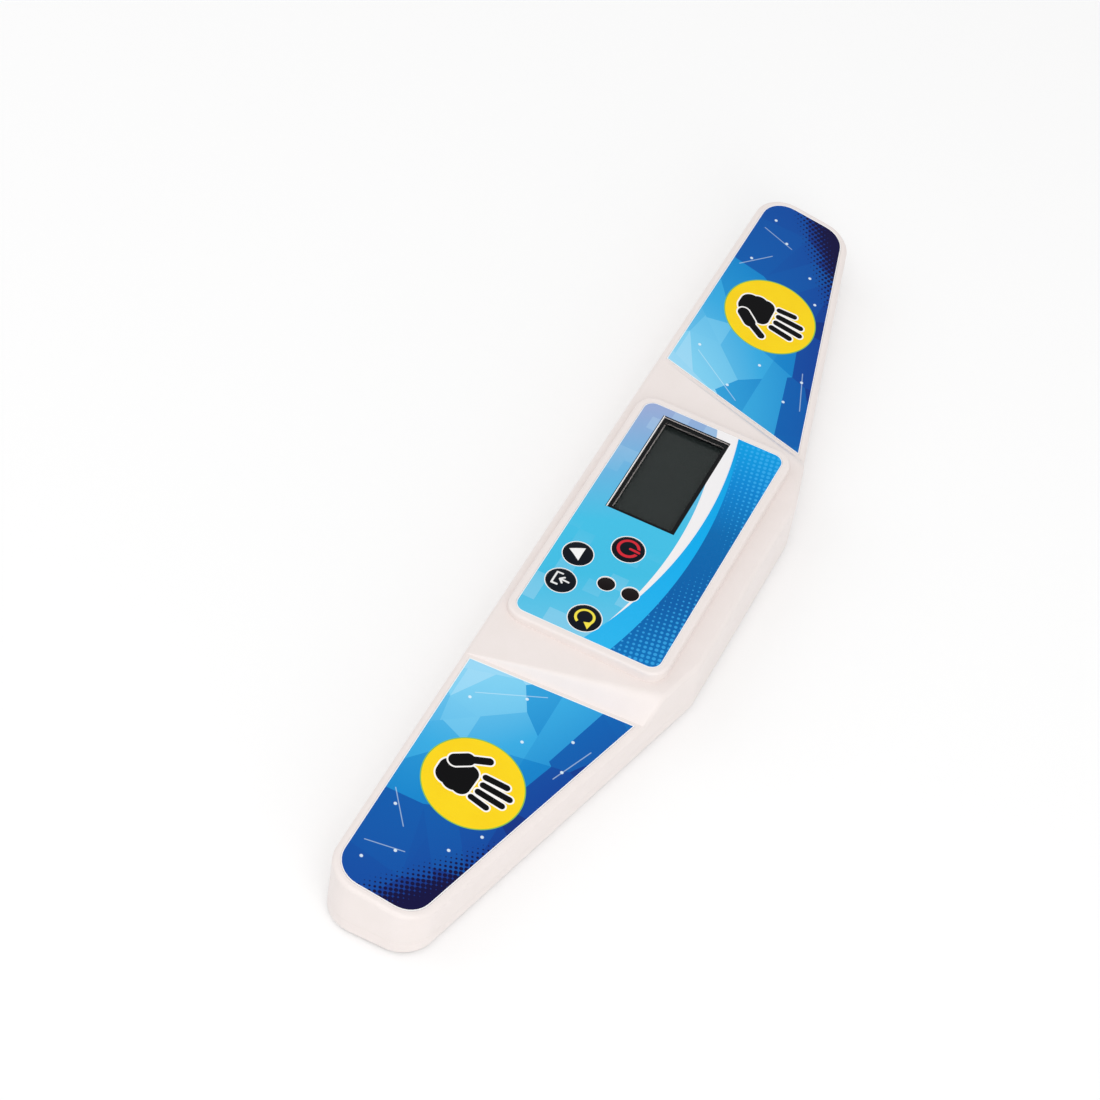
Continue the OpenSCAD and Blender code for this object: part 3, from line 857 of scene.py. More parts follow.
@dataclass(frozen=True)
class BatteryFinish:
    """Plain battery sleeve: grey body, dark band and a plus sign at the nub's end."""

    cell_y: float = 5.65
    band_x: float = 9.0
    nub_x: float = 22.6
    line_gap: float = 1.2
    line_half: float = 0.3
    sign_gap: float = 4.4
    sign_reach: float = 1.3
    sign_top: float = 8.0
    body: str = "#9aa3ab"
    second: str = "#8f98a0"
    band: str = "#23303c"
    line: str = "#d7dadd"
    sign: str = "#f2f2f2"
    metal: str = "#c9c9c8"

    def make(self) -> bpy.types.Material:
        """Build the material.

        Returns:
            The material.
        """
        sheet = Sheet("battery_sleeve")
        x, y, z = sheet.place()
        side = y.math("SIGN") * -1.0
        along = x.math("MULTIPLY", side)
        sleeve = sheet.mix(sheet.noise(3.0), paint(self.body), paint(self.second))
        sleeve = sheet.mix(along.above(self.band_x), sleeve, paint(self.band))
        line = (along - (self.band_x + self.line_gap)).size().below(self.line_half)
        sleeve = sheet.mix(line, sleeve, paint(self.line))
        across = (y.size() - self.cell_y).size()
        beside = (along - (self.band_x + self.sign_gap)).size()
        arms = [
            across.below(wide) * beside.below(high)
            for wide, high in (
                (self.line_half, self.sign_reach),
                (self.sign_reach, self.line_half),
            )
        ]
        sign = arms[0].most(arms[1]) * z.below(self.sign_top, 0.2)
        sleeve = sheet.mix(sign, sleeve, paint(self.sign))
        bare = along.above(self.nub_x, 0.05)
        sheet.set(
            Base_Color=sheet.mix(bare, sleeve, paint(self.metal)),
            Roughness=sheet.noise(1.5) * 0.1 + 0.2,
            Metallic=bare,
            Coat_Weight=0.2,
        )
        return sheet.material


@dataclass(frozen=True)
class PanelPrint:
    """Print of the panel: pale blue ground, white and cyan arcs, deep blue far side."""

    near: tuple[float, float, float] = (0.0, -120.0, 125.4)
    middle: tuple[float, float, float] = (-10.0, -120.0, 128.4)
    far: tuple[float, float, float] = (0.0, -136.0, 147.0)
    half_length: float = 41.0
    display_middle: tuple[float, float] = (-19.9, -6.2)
    display_half: tuple[float, float] = (18.4, 9.7)
    tiles_per_mm: float = 0.22
    dot_pitch: float = 1.5
    largest_dot: float = 0.34
    white: str = "#f3f1f2"
    display_line: str = "#08090a"
    pale_tile: str = "#c4e6f8"
    pale_dot: str = "#3fb6f4"

    def make(self) -> bpy.types.Material:
        """Build the material.

        Returns:
            The material.
        """
        sheet = Sheet("panel_print")
        x, y, _ = sheet.place()
        spot = sheet.flat(x, y)
        rise = [
            sheet.away_from(spot, arc[:2]) - arc[2]
            for arc in (self.near, self.middle, self.far)
        ]
        colour = self._ground(sheet)
        colour = sheet.mix(rise[0].above(0.0), colour, paint(self.white))
        edge = rise[1].above(0.0)
        bright = sheet.ramp(
            (x + self.half_length) * (0.5 / self.half_length),
            ((0.0, "#0fa0e4"), (0.5, "#10aeee"), (1.0, "#2cb6ee")),
        )
        colour = sheet.mix(edge, colour, bright)
        colour = sheet.mix(rise[2].above(0.0) * edge, colour, self._deep(sheet))
        line = sheet.oblong(self.display_middle, self.display_half).below(0.0)
        sheet.set(
            Base_Color=sheet.mix(line, colour, paint(self.display_line)),
            Roughness=sheet.noise(4.0) * 0.06 + 0.24,
            Specular_IOR_Level=0.06,
        )
        sheet.relief(sheet.noise(0.6), 0.002)
        return sheet.material

    def _ground(self, sheet: Sheet) -> Wire:
        """Draw the pale blue ground with faint squares.

        Args:
            sheet: The material sheet.

        Returns:
            The colour.
        """
        x, y, _ = sheet.place()
        along = (x + y * 0.5 + self.half_length + 8) * (0.5 / self.half_length)
        stops = (
            (0.0, "#9aaed8"),
            (0.3, "#6cb6e2"),
            (0.55, "#46c1e7"),
            (0.8, "#43bfe5"),
            (1.0, "#60c4e8"),
        )
        ground = sheet.ramp(along, stops)
        cells = sheet.node("ShaderNodeTexWhiteNoise", noise_dimensions="2D")
        column = (x * self.tiles_per_mm).math("FLOOR")
        row = (y * self.tiles_per_mm).math("FLOOR")
        sheet.feed(cells.inputs["Vector"], sheet.flat(column, row))
        pale = Wire(sheet, cells.outputs["Value"]).above(0.72, 0.02) * 0.22
        patch = (x.size() * (1 / self.half_length)).above(0.45, 0.6)
        return sheet.mix(pale * patch, ground, paint(self.pale_tile))

    def _deep(self, sheet: Sheet) -> Wire:
        """Draw the deep blue far side with its halftone end.

        Args:
            sheet: The material sheet.

        Returns:
            The colour.
        """
        x, y, _ = sheet.place()
        along = (x + y * 0.4 + self.half_length - 4.0) * (0.5 / self.half_length)
        stops = (
            (0.0, "#0c9fe4"),
            (0.2, "#0a86d2"),
            (0.42, "#0a6bb0"),
            (0.75, "#0960a9"),
            (1.0, "#0a70b9"),
        )
        deep = sheet.ramp(along, stops)
        grid = sheet.dots(x + y * 0.2, y - x * 0.2, self.dot_pitch)
        size = (x.size() * 0.7 + y * 1.4 - 21.0) * (1 / 70.0)
        dots = grid.below(size.most(0.0).least(self.largest_dot), 0.1)
        shown = size.above(0.05, 0.05)
        return sheet.mix(dots * shown * 0.6, deep, paint(self.pale_dot))


@dataclass(frozen=True)
class PadPrint:
    """Print of a hand pad: blue facets, a halftone tip and a hand on a yellow disc."""

    disc: tuple[float, float, float] = (91.8, -7.1, 13.0)
    corner: tuple[float, float] = (56.0, -24.4)
    reach: tuple[float, float] = (77.0, 43.4)
    cell: float = 26.0
    rays: int = 5
    facet_share: float = 0.72
    facet_chance: float = 0.16
    dot_pitch: float = 1.38
    largest_dot: float = 0.8
    spark_radius: float = 0.42
    streak_half: float = 0.12
    ring_width: float = 0.3
    outline: float = 0.42

    def make(self) -> bpy.types.Material:
        """Build the material.

        Returns:
            The material.
        """
        sheet = Sheet("pad_print")
        x, y, _ = sheet.place()
        outward = x.size()
        spot = sheet.flat(outward, y)
        colour = self._facets(sheet, outward, y)
        colour = self._halftone(sheet, outward, y, colour)
        colour = self._sparks(sheet, spot, colour)
        colour = self._hand(sheet, spot, colour)
        sheet.set(
            Base_Color=colour,
            Roughness=sheet.noise(5.0) * 0.06 + 0.22,
            Specular_IOR_Level=0.06,
        )
        sheet.relief(sheet.noise(0.7), 0.002)
        return sheet.material

    def _tone(self, x: Wire, y: Wire) -> Wire:
        """Work out the tone of the whole print.

        Args:
            x: Place along the pad, away from the display.
            y: Place across the pad.

        Returns:
            The tone, from 0, pale, to 1, navy.
        """
        along = (x - self.corner[0]) * (0.8 / self.reach[0])
        across = ((y - self.corner[1]) * (1 / self.reach[1])).most(0.0)
        return along + across * across * 0.7

    def _facet_tone(self, sheet: Sheet, x: Wire, y: Wire) -> Wire:
        """Split cells into wedges and give each wedge the tone of its middle.

        Args:
            sheet: The material sheet.
            x: Place along the pad, away from the display.
            y: Place across the pad.

        Returns:
            The tone.
        """
        cells = sheet.node("ShaderNodeTexVoronoi", voronoi_dimensions="2D")
        cells.inputs["Scale"].default_value = 1 / self.cell
        cells.inputs["Randomness"].default_value = 0.85
        sheet.feed(cells.inputs["Vector"], sheet.flat(x, y))
        split = sheet.node("ShaderNodeSeparateXYZ")
        sheet.tree.links.new(cells.outputs["Position"], split.inputs[0])
        mid_x, mid_y = (Wire(sheet, out) for out in split.outputs[:2])
        turn = (y - mid_y).math("ARCTAN2", x - mid_x) * (self.rays / math.tau)
        lean = mid_x * 0.37
        wedge = (turn + lean).math("FLOOR")
        hue = sheet.node("ShaderNodeTexWhiteNoise", noise_dimensions="3D")
        join = sheet.node("ShaderNodeCombineXYZ")
        for socket, value in zip(join.inputs, (mid_x, mid_y, wedge)):
            sheet.feed(socket, value)
        sheet.feed(hue.inputs["Vector"], Wire(sheet, join.outputs[0]))
        chance = Wire(sheet, hue.outputs["Value"]) - 0.5
        aim = (wedge + 0.5 - lean) * (math.tau / self.rays)
        out = self.cell * 0.34
        wedge_x = mid_x + aim.math("COSINE") * out
        wedge_y = mid_y + aim.math("SINE") * out
        return self._tone(wedge_x, wedge_y) + chance * self.facet_chance

    def _facets(self, sheet: Sheet, x: Wire, y: Wire) -> Wire:
        """Colour the facets along the print's tone.

        Args:
            sheet: The material sheet.
            x: Place along the pad, away from the display.
            y: Place across the pad.

        Returns:
            The colour.
        """
        tone = self._facet_tone(sheet, x, y) * self.facet_share
        tone = tone + self._tone(x, y) * (1 - self.facet_share)
        stops = (
            (0.0, "#a9def8"),
            (0.16, "#7fd0f2"),
            (0.28, "#3aabe2"),
            (0.42, "#1685cb"),
            (0.62, "#1062b2"),
            (0.84, "#13459c"),
            (1.0, "#142c78"),
        )
        return sheet.ramp(tone, stops)

    def _halftone(self, sheet: Sheet, x: Wire, y: Wire, ground: Tint) -> Wire:
        """Add navy dots that grow and merge towards the tip's far edge.

        Args:
            sheet: The material sheet.
            x: Place along the pad, away from the display.
            y: Place across the pad.
            ground: The colour under them.

        Returns:
            The colour.
        """
        grid = sheet.dots(x + y * 0.45, y - x * 0.45, self.dot_pitch)
        from_edge = y + (x - 93.0) * 0.257 - 8.7
        size = (x - 97.0) * 0.028 + from_edge * 0.055
        dots = grid.below(size.most(0.0).least(self.largest_dot), 0.12)
        return sheet.mix(dots * size.above(0.08, 0.08), ground, paint("#12103f"))

    def _sparks(self, sheet: Sheet, spot: Wire, ground: Tint) -> Wire:
        """Add small white dots and a few faint straight streaks.

        Args:
            sheet: The material sheet.
            spot: Flat place on the pad.
            ground: The colour under them.

        Returns:
            The colour.
        """
        streaks = (
            ((58.5, -3.0), (68.0, -18.5)),
            ((66.5, 13.0), (79.0, 8.5)),
            ((104.0, -22.0), (112.5, -15.5)),
            ((121.0, -21.5), (118.5, -12.0)),
        )
        colour: Tint = ground
        for a, b in streaks:
            line = sheet.stick(spot, a, b, self.streak_half)
            colour = sheet.mix(line.below(0.0, 0.12) * 0.45, colour, paint("#d8f0fc"))
        dots = (
            (62.0, -7.0),
            (66.5, 8.0),
            (70.0, -19.0),
            (76.0, 9.5),
            (74.0, -2.5),
            (104.0, 1.5),
            (108.0, -20.0),
            (112.0, -3.5),
            (119.5, -14.0),
            (125.5, -20.0),
        )
        apart = reduce(Wire.least, [sheet.away_from(spot, dot) for dot in dots])
        shown = apart.below(self.spark_radius, 0.15) * 0.85
        return sheet.mix(shown, colour, paint("#e6f5fd"))

    def _hand(self, sheet: Sheet, spot: Wire, ground: Tint) -> Wire:
        """Draw the yellow disc and an open hand, thumb towards the display.

        Args:
            sheet: The material sheet.
            spot: Flat place on the pad.
            ground: The colour under the disc.

        Returns:
            The colour.
        """
        x, y, radius = self.disc
        apart = sheet.away_from(spot, (x, y))
        yellow = sheet.mix(sheet.noise(7.0), paint("#fddc22"), paint("#f7cf1c"))
        colour = sheet.mix(apart.below(radius), ground, paint("#86c04e"))
        colour = sheet.mix(apart.below(radius - self.ring_width), colour, yellow)
        palm = (
            ((-3.3, 1.9), (-3.7, 7.4), 0.88),
            ((-0.95, 2.3), (-1.05, 9.4), 0.88),
            ((1.4, 2.1), (1.65, 8.6), 0.88),
            ((3.7, 1.3), (4.3, 5.6), 0.84),
            ((-1.9, -2.0), (2.4, -2.2), 2.4),
            ((-1.3, -4.2), (2.0, -4.4), 2.9),
            ((-0.5, -6.4), (1.2, -6.4), 3.0),
        )
        thumb = (
            ((-3.4, -6.6), (-5.4, -4.0), 1.75),
            ((-5.2, -4.4), (-7.9, 0.6), 1.05),
        )
        for sticks in (palm, thumb):
            parts = [
                sheet.stick(spot, (x + a[0], y + a[1]), (x + b[0], y + b[1]), width)
                for a, b, width in sticks
            ]
            shape = reduce(Wire.least, parts)
            colour = sheet.mix(shape.below(self.outline), colour, paint("#fbf9f7"))
            colour = sheet.mix(shape.below(0.0), colour, paint("#08080a"))
        return colour


class Sign(Enum):
    """What is printed on a key."""

    POWER = "power"
    UP = "up"
    SAVE = "save"
    RESET = "reset"


@dataclass(frozen=True)
class KeyFinish:
    """Gloss black key with a plain printed sign."""

    sign: Sign
    middle: tuple[float, float]
    stroke_half: float = 0.26

    def make(self) -> bpy.types.Material:
        """Build the material.

        Returns:
            The material.
        """
        sheet = Sheet("key_" + self.sign.value + "_gloss")
        x, y, _ = sheet.place()
        u = x - self.middle[0]
        v = y - self.middle[1]
        draw = {
            Sign.POWER: self._power,
            Sign.UP: self._up,
            Sign.SAVE: self._save,
            Sign.RESET: self._reset,
        }[self.sign]
        ink, mask = draw(sheet, u, v)
        black = sheet.mix(sheet.noise(3.0), paint("#0b1019"), paint("#0e141f"))
        sheet.set(
            Base_Color=sheet.mix(mask, black, ink),
            Roughness=sheet.noise(2.0) * 0.05 + 0.12,
            Specular_IOR_Level=0.06,
        )
        return sheet.material

    def _power(self, sheet: Sheet, u: Wire, v: Wire) -> tuple[Colour, Wire]:
        """Draw an open ring with a bar.

        Args:
            sheet: The material sheet.
            u: Place along x from the key's middle.
            v: Place along y from it.

        Returns:
            The ink's colour and its mask.
        """
        spot = sheet.flat(u, v)
        ring = (sheet.away_from(spot, (0, 0)) - 2.65).size() - 0.4
        gap = sheet.stick(spot, (0, 1.6), (0, 4.0), 0.85)
        ring = ring.most(gap * -1.0)
        bar = sheet.stick(spot, (0, 0.5), (0, 2.9), 0.36)
        return paint("#d42a38"), ring.least(bar).below(0.0, 0.08)

    def _up(self, sheet: Sheet, u: Wire, v: Wire) -> tuple[Colour, Wire]:
        """Draw a triangle."""
        corners = ((-2.35, 1.1), (-0.2, -2.6), (2.35, 1.1))
        return paint("#f6f6f6"), sheet.wedge(u, v, corners).below(0.0, 0.08)

    def _save(self, sheet: Sheet, u: Wire, v: Wire) -> tuple[Colour, Wire]:
        """Draw an arrow that points into a tray.

        Args:
            sheet: The material sheet.
            u: Place along x from the key's middle.
            v: Place along y from it.

        Returns:
            The ink's colour and its mask.
        """
        spot = sheet.flat(u, v)
        strokes = (
            ((0, 2.1), (0, -0.1)),
            ((0, -0.3), (0.95, 0.65)),
            ((0, -0.3), (-0.95, 0.65)),
            ((-1.9, -0.3), (-1.9, -1.8)),
            ((-1.9, -1.8), (1.9, -1.8)),
            ((1.9, -1.8), (1.9, -0.3)),
        )
        marks = [sheet.stick(spot, a, b, self.stroke_half) for a, b in strokes]
        return paint("#ececec"), reduce(Wire.least, marks).below(0.0, 0.08)

    def _reset(self, sheet: Sheet, u: Wire, v: Wire) -> tuple[Colour, Wire]:
        """Draw a ring with an arrow head.

        Args:
            sheet: The material sheet.
            u: Place along x from the key's middle.
            v: Place along y from it.

        Returns:
            The ink's colour and its mask.
        """
        spot = sheet.flat(u, v)
        ring = (sheet.away_from(spot, (0, 0)) - 2.35).size() - 0.34
        gap = sheet.wedge(u, v, ((0.0, 0.0), (6.0, -3.4), (6.0, 5.2)))
        ring = ring.most(gap * -1.0)
        head = sheet.wedge(u, v, ((0.75, 2.5), (1.6, 0.35), (3.15, 2.05)))
        return paint("#f3e24c"), ring.least(head).below(0.0, 0.08)


# ---- Case ----


def soft_least(a: float, b: float, blend: float) -> float:
    """Return the smaller of two heights, rounded where they meet.

    Args:
        a: First height.
        b: Second height.
        blend: Depth over which they blend.

    Returns:
        The blended height.
    """
    near = max(blend - abs(a - b), 0.0) / max(blend, 1e-6)
    return min(a, b) - near * near * blend / 4


@dataclass
class Case:
    """Both halves of the case, rounded as moulded, and the rubber feet."""

    length: float = 270.0
    depth: float = 52.7
    tip_width: float = 26.0
    far_straight: float = 62.0
    near_height: float = 19.6
    wing_tilt: float = 9.0
    shoulder_tilt: float = 1.7
    tip_radius: float = 9.0
    bend_radius: float = 10.0
    flank_near_x: float = 59.0
    flank_foot: tuple[float, float] = (51.7, 19.0)
    flank_crest: tuple[float, float] = (45.2, 22.9)
    platform: tuple[float, float, float] = (86.6, 44.1, 21.6)
    platform_y: float = -1.8
    platform_radius: float = 5.0
    skin: float = 0.02
    edge_radius: float = 1.3
    crest_blend: float = 2.2
    seam: float = 5.1
    seam_groove: float = 0.08
    rim_round: float = 0.75
    underside: float = 0.6
    corner_faces: tuple[int, int, int] = (14, 12, 8)
    foot_radius: float = 4.5
    foot_round: float = 0.35
    foot_dish: tuple[tuple[float, float], ...] = ((1.0, 0.0), (0.3, -0.18))

    def build(self, shell: bpy.types.Material, rubber: bpy.types.Material) -> None:
        """Build the two shells and the feet.

        Args:
            shell: Finish of the shells.
            rubber: Finish of the feet.
        """
        for node, name, form in (
            ("top_shell", "case_top", self._upper_form),
            ("bottom_shell", "case_bottom", self._lower_form),
        ):
            obj = Bench.copy_of_node(node, name)
            Bench.join(obj, form(), Join.KEEP_COMMON)
            Bench.clean(obj)
            Bench.settle(obj, [shell], "case", "case_shell", [node])
        for node in ("foot_tip_left", "foot_tip_right", "foot_far_left", "foot_far_right"):
            self._foot(node, rubber)

    def _height(self, x: float, y: float) -> float:
        """Work out the height of the case's top without its raised block.

        Args:
            x: Place along the case.
            y: Place across it.

        Returns:
            The height.
        """
        run = y + self.depth / 2
        wing = self.near_height - run * math.tan(math.radians(self.wing_tilt))
        shoulder = self.near_height - run * math.tan(math.radians(self.shoulder_tilt))
        slope_x, slope_y = self._flank()
        flank = self.near_height + slope_x * (abs(x) - self.flank_near_x) + slope_y * run
        blend = self.crest_blend * run / self.depth
        return max(wing, soft_least(shoulder, flank, blend)) - self.skin

    def _flank(self) -> tuple[float, float]:
        """Return how the flank falls along x and along y.

        Returns:
            Its slopes along x and y.
        """
        foot_x = self.flank_foot[0] - self.flank_near_x
        foot_run = self.flank_foot[1] + self.depth / 2
        foot_drop = -foot_run * math.tan(math.radians(self.wing_tilt))
        crest_x = self.flank_crest[0] - self.flank_near_x
        crest_run = self.flank_crest[1] + self.depth / 2
        crest_drop = -crest_run * math.tan(math.radians(self.shoulder_tilt))
        det = foot_x * crest_run - crest_x * foot_run
        slope_x = (foot_drop * crest_run - crest_drop * foot_run) / det
        slope_y = (foot_x * crest_drop - crest_x * foot_drop) / det
        return slope_x, slope_y

    def _prism(self, name: str, low: float, high: float) -> bpy.types.Object:
        """Build an upright block with the case's outline.

        Args:
            name: The object's name.
            low: Height of its underside.
            high: Height of its top.

        Returns:
            The block.
        """
        half_x = self.length / 2 - self.skin
        half_y = self.depth / 2 - self.skin
        obj = Bench.block(name, (-half_x, -half_y, low), (half_x, half_y, high))
        kink = self.far_straight / 2
        tip_y = self.tip_width - self.depth / 2
        fall = Vector((self.depth / 2 - tip_y, self.length / 2 - kink)).normalized()
        for side in (-1, 1):
            point = (side * kink, half_y + self.skin, 0)
            edge = Vector((side * fall.x, fall.y, 0))
            Bench.slice(obj, Vector(point) - edge * self.skin, edge, True)
        half_turn = math.atan2(fall.x, fall.y) / 2
        far_tip = self.tip_radius / math.tan(math.radians(45) + half_turn)
        bend = self.bend_radius * math.tan(half_turn)
        near_y = -half_y + 1
        tip_x = half_x - 1

        rounds: tuple[tuple[float, Callable[[Vector], bool]], ...] = (
            (self.tip_radius, lambda m: m.y < near_y),
            (far_tip, lambda m: abs(m.x) > tip_x and m.y > tip_y - 2),
            (bend, lambda m: m.y > half_y - 0.5),
        )
        for (radius, test), faces in zip(rounds, self.corner_faces):
            Bench.bevel(obj, radius, faces, lambda m, w: upright(m, w) and test(m))
        return obj

    def _round_steps(self, radius: float, count: int) -> list[tuple[float, float]]:
        """Work out the insets that follow a quarter round, from its outer edge.

        Args:
            radius: The rounding's radius.
            count: Faces across it.

        Returns:
            Thickness and depth of each inset.
        """
        turns = [math.radians(90) * i / count for i in range(count + 1)]
        return [
            (radius * (math.cos(a) - math.cos(b)), radius * (math.sin(b) - math.sin(a)))
            for a, b in zip(turns, turns[1:])
        ]

    def _upper_form(self) -> bpy.types.Object:
        """Build the outer form of the upper half, with its raised block.

        Returns:
            The form as one solid, to be kept in common with the CAD shell.
        """
        radius = self.edge_radius
        obj = self._prism("upper_form", -40.0, -radius)
        Bench.inset(
            obj, self._round_steps(radius, 7), lambda m, n: n.z > 0.9 and m.z > -5.0
        )
        for side in (-1, 1):
            point = (side * self.flank_near_x, -self.depth / 2, 0)
            for lean in self._fan():
                Bench.slice(obj, point, (side, lean, 0), False)
        for vertex in obj.data.vertices:
            if vertex.co.z > -5.0:
                vertex.co.z += self._height(vertex.co.x, vertex.co.y)
        with Bench.editing(obj):
            bpy.ops.mesh.remove_doubles(threshold=0.003)
        foot = self.seam - self.seam_groove / 4
        Bench.slice(obj, (0, 0, foot), (0, 0, -1), True)
        Bench.bevel(
            obj, self.seam_groove, 1, lambda m, w: m.z < foot + HAIR and abs(w.z) < 0.1
        )
        Bench.join(obj, self._raised_block(), Join.ADD)
        return obj

    def _fan(self) -> list[float]:
        """Work out how far each cut through a flank leans in for each step away.

        All cuts start where the flank meets the near edge: one runs along the
        flank's foot and nine across its rounded crest.

        Returns:
            The lean of each cut.
        """
        reach = self.flank_crest[1] + self.depth / 2
        crest = (self.flank_near_x - self.flank_crest[0]) / reach
        foot = (self.flank_near_x - self.flank_foot[0]) / (self.flank_foot[1] + self.depth / 2)
        spread = self.crest_blend / self.depth / abs(self._flank()[0])
        return [foot] + [crest + spread * i / 4 for i in range(-4, 5)]

    def _raised_block(self) -> bpy.types.Object:
        """Build the raised block that carries the display.

        Returns:
            The block.
        """
        half_x = self.platform[0] / 2 - self.skin
        half_y = self.platform[1] / 2 - self.skin
        top = self.platform[2] - self.skin
        obj = Bench.block(
            "raised_block",
            (-half_x, self.platform_y - half_y, 10.0),
            (half_x, self.platform_y + half_y, top),
        )
        Bench.bevel(obj, self.platform_radius, 12, upright)
        Bench.bevel(obj, self.rim_round, 6, lambda m, w: m.z > top - HAIR)
        return obj

    def _lower_form(self) -> bpy.types.Object:
        """Build the outer form of the lower half, rounded along its underside.

        Returns:
            The form as one solid, to be kept in common with the CAD shell.
        """
        radius = self.edge_radius
        obj = self._prism("lower_form", self.underside + self.skin + radius, 40.0)
        Bench.inset(
            obj, self._round_steps(radius, 6), lambda m, n: n.z < -0.9 and m.z < 5.0
        )
        return obj

    def _foot(self, node: str, rubber: bpy.types.Material) -> None:
        """Build one rubber foot with a rounded edge and a shallow dish.

        Args:
            node: The foot's CAD node.
            rubber: Its finish.
        """
        low, high = span_mm(node)
        middle = (low + high) / 2
        spot = (middle.x, middle.y, low.z)
        obj = Bench.drum(node + "_disc", spot, self.foot_radius, high.z - low.z)
        Bench.bevel(
            obj, self.foot_round, 5, lambda m, w: m.z < low.z + HAIR and abs(w.z) < 0.1
        )
        Bench.inset(
            obj, self.foot_dish, lambda m, n: n.z < -0.999 and m.z < low.z + HAIR
        )
        Bench.settle(obj, [rubber], "case", "foot_rubber", [node])


# ---- Printed stickers ----


@dataclass
class Stickers:
    """The panel label and the two hand pads, each with its unprinted border."""

    border: float = 0.24
    display_middle: tuple[float, float] = (-19.9, -6.05)
    display_half: tuple[float, float] = (18.25, 9.4)
    display_margin: float = 1.0
    # Reach of the white strip along the display opening's near side: a painted highlight line.
    near_highlight_reach: float = 0.3
    panel_top: float = 21.45

    def build(
        self,
        panel: bpy.types.Material,
        pad: bpy.types.Material,
        white: bpy.types.Material,
        black: bpy.types.Material,
    ) -> None:
        """Build the three stickers.

        Args:
            panel: Print of the panel.
            pad: Print of the pads.
            white: Unprinted border, and the painted highlight line along the near side of the
                display's opening.
            black: Printed line round the display.
        """
        self._sticker("panel_label", "panel_sticker", [panel, white, black], "panel_print")
        for side in ("left", "right"):
            node = "pad_sticker_" + side
            self._sticker(node, "hand_pad_" + side, [pad, white], "pad_print")

    def _sticker(
        self, node: str, name: str, materials: list[bpy.types.Material], slot: str
    ) -> None:
        """Copy a sticker's node and set off its border.

        Args:
            node: The sticker's CAD node.
            name: The piece's name.
            materials: Print, border, and the display's line where there is one.
            slot: Handed on to Bench.settle.
        """
        obj = Bench.copy_of_node(node, name)
        Bench.inset(obj, ((self.border, 0.0),), lambda m, n: n.z > 0.9)
        for face in obj.data.polygons:
            face.material_index = 0 if face.select else self._border_index(face.center)
        Bench.settle(obj, materials, "case", slot, [node])

    def _border_index(self, spot: Vector) -> int:
        """Return the finish of a face beside the print.

        Args:
            spot: The face's middle.

        Returns:
            0, printed, on top round the display, 2, black, for the sides of its
            opening, and 1, white: a painted highlight line along its near side, and
            unprinted for every other border.
        """
        x = spot.x - self.display_middle[0]
        y = spot.y - self.display_middle[1]
        half_x, half_y = self.display_half
        beside = abs(x) < half_x + self.display_margin and abs(y) < half_y + self.display_margin
        # Faces along the opening's near side turn white: a painted highlight line.
        if not beside or y < self.near_highlight_reach - half_y:
            return 1
        return 0 if spot.z > self.panel_top else 2


# ---- Display window ----


@dataclass
class DisplayWindow:
    """The clear window over the display, with its black printed border, which runs wider on the
    -x side as painted shade of the opening's wall.
    """

    border: float = 1.0
    # Border on the -x side: the printed border plus a band of painted shade for the opening's
    # wall.
    left_border_and_shade: float = 1.45
    corner: float = 0.5
    edge: float = 0.12

    def build(self, clear: bpy.types.Material, black: bpy.types.Material) -> None:
        """Build the window.

        Args:
            clear: Finish of its middle.
            black: Finish of its border, of the painted shade band along its -x side, and of its
                sides.
        """
        low, high = span_mm("display_lens")
        obj = Bench.block("display_window", low, high)
        Bench.bevel(obj, self.corner, 4, upright)
        Bench.bevel(obj, self.edge, 2, lambda m, w: m.z > high.z - HAIR)
        # The clear middle starts further in on the -x side, leaving room for the painted shade
        # band.
        left, right = low.x + self.left_border_and_shade, high.x - self.border
        front, back = low.y + self.border, high.y - self.border
        for x in (left, right):
            Bench.slice(obj, (x, 0, 0), (1, 0, 0), False)
        for y in (front, back):
            Bench.slice(obj, (0, y, 0), (0, 1, 0), False)
        for face in obj.data.polygons:
            m = face.center
            clear_face = left < m.x < right and front < m.y < back
            face.material_index = 0 if clear_face else 1
        Bench.settle(obj, [clear, black], "case", "display_lens", ["display_lens"])


@dataclass
class DisplayCell:
    """The liquid crystal cell: two glass plates with a film on top."""

    film: float = 0.14
    film_margin: float = 0.6
    joint: float = 0.1
    joint_depth: float = 0.12
    edge: float = 0.08

    def build(self, dark: bpy.types.Material, edge: bpy.types.Material) -> None:
        """Build the cell.

        Args:
            dark: Finish of the film.
            edge: Finish of the glass beside it.
        """
        low, high = span_mm("display_glass")
        top = high.z - self.film
        obj = Bench.block("display_cell", low, (high.x, high.y, top))
        Bench.bevel(obj, self.edge, 2, lambda m, w: True)
        middle = (low.z + top) / 2
        for lift in (-self.joint / 2, self.joint / 2):
            Bench.slice(obj, (0, 0, middle + lift), (0, 0, 1), False)
        Bench.inset(
            obj, ((0.0, -self.joint_depth),), lambda m, n: abs(m.z - middle) < self.joint / 4
        )
        steps = ((self.film_margin, 0.0), (0.0, self.film), (self.edge, 0.0))
        Bench.inset(obj, steps, lambda m, n: n.z > 0.999)
        for face in obj.data.polygons:
            face.material_index = 0 if face.center.z > top + HAIR else 1
        Bench.settle(obj, [dark, edge], "case", "display_glass", ["display_glass"])


# ---- Keys and lamp windows ----


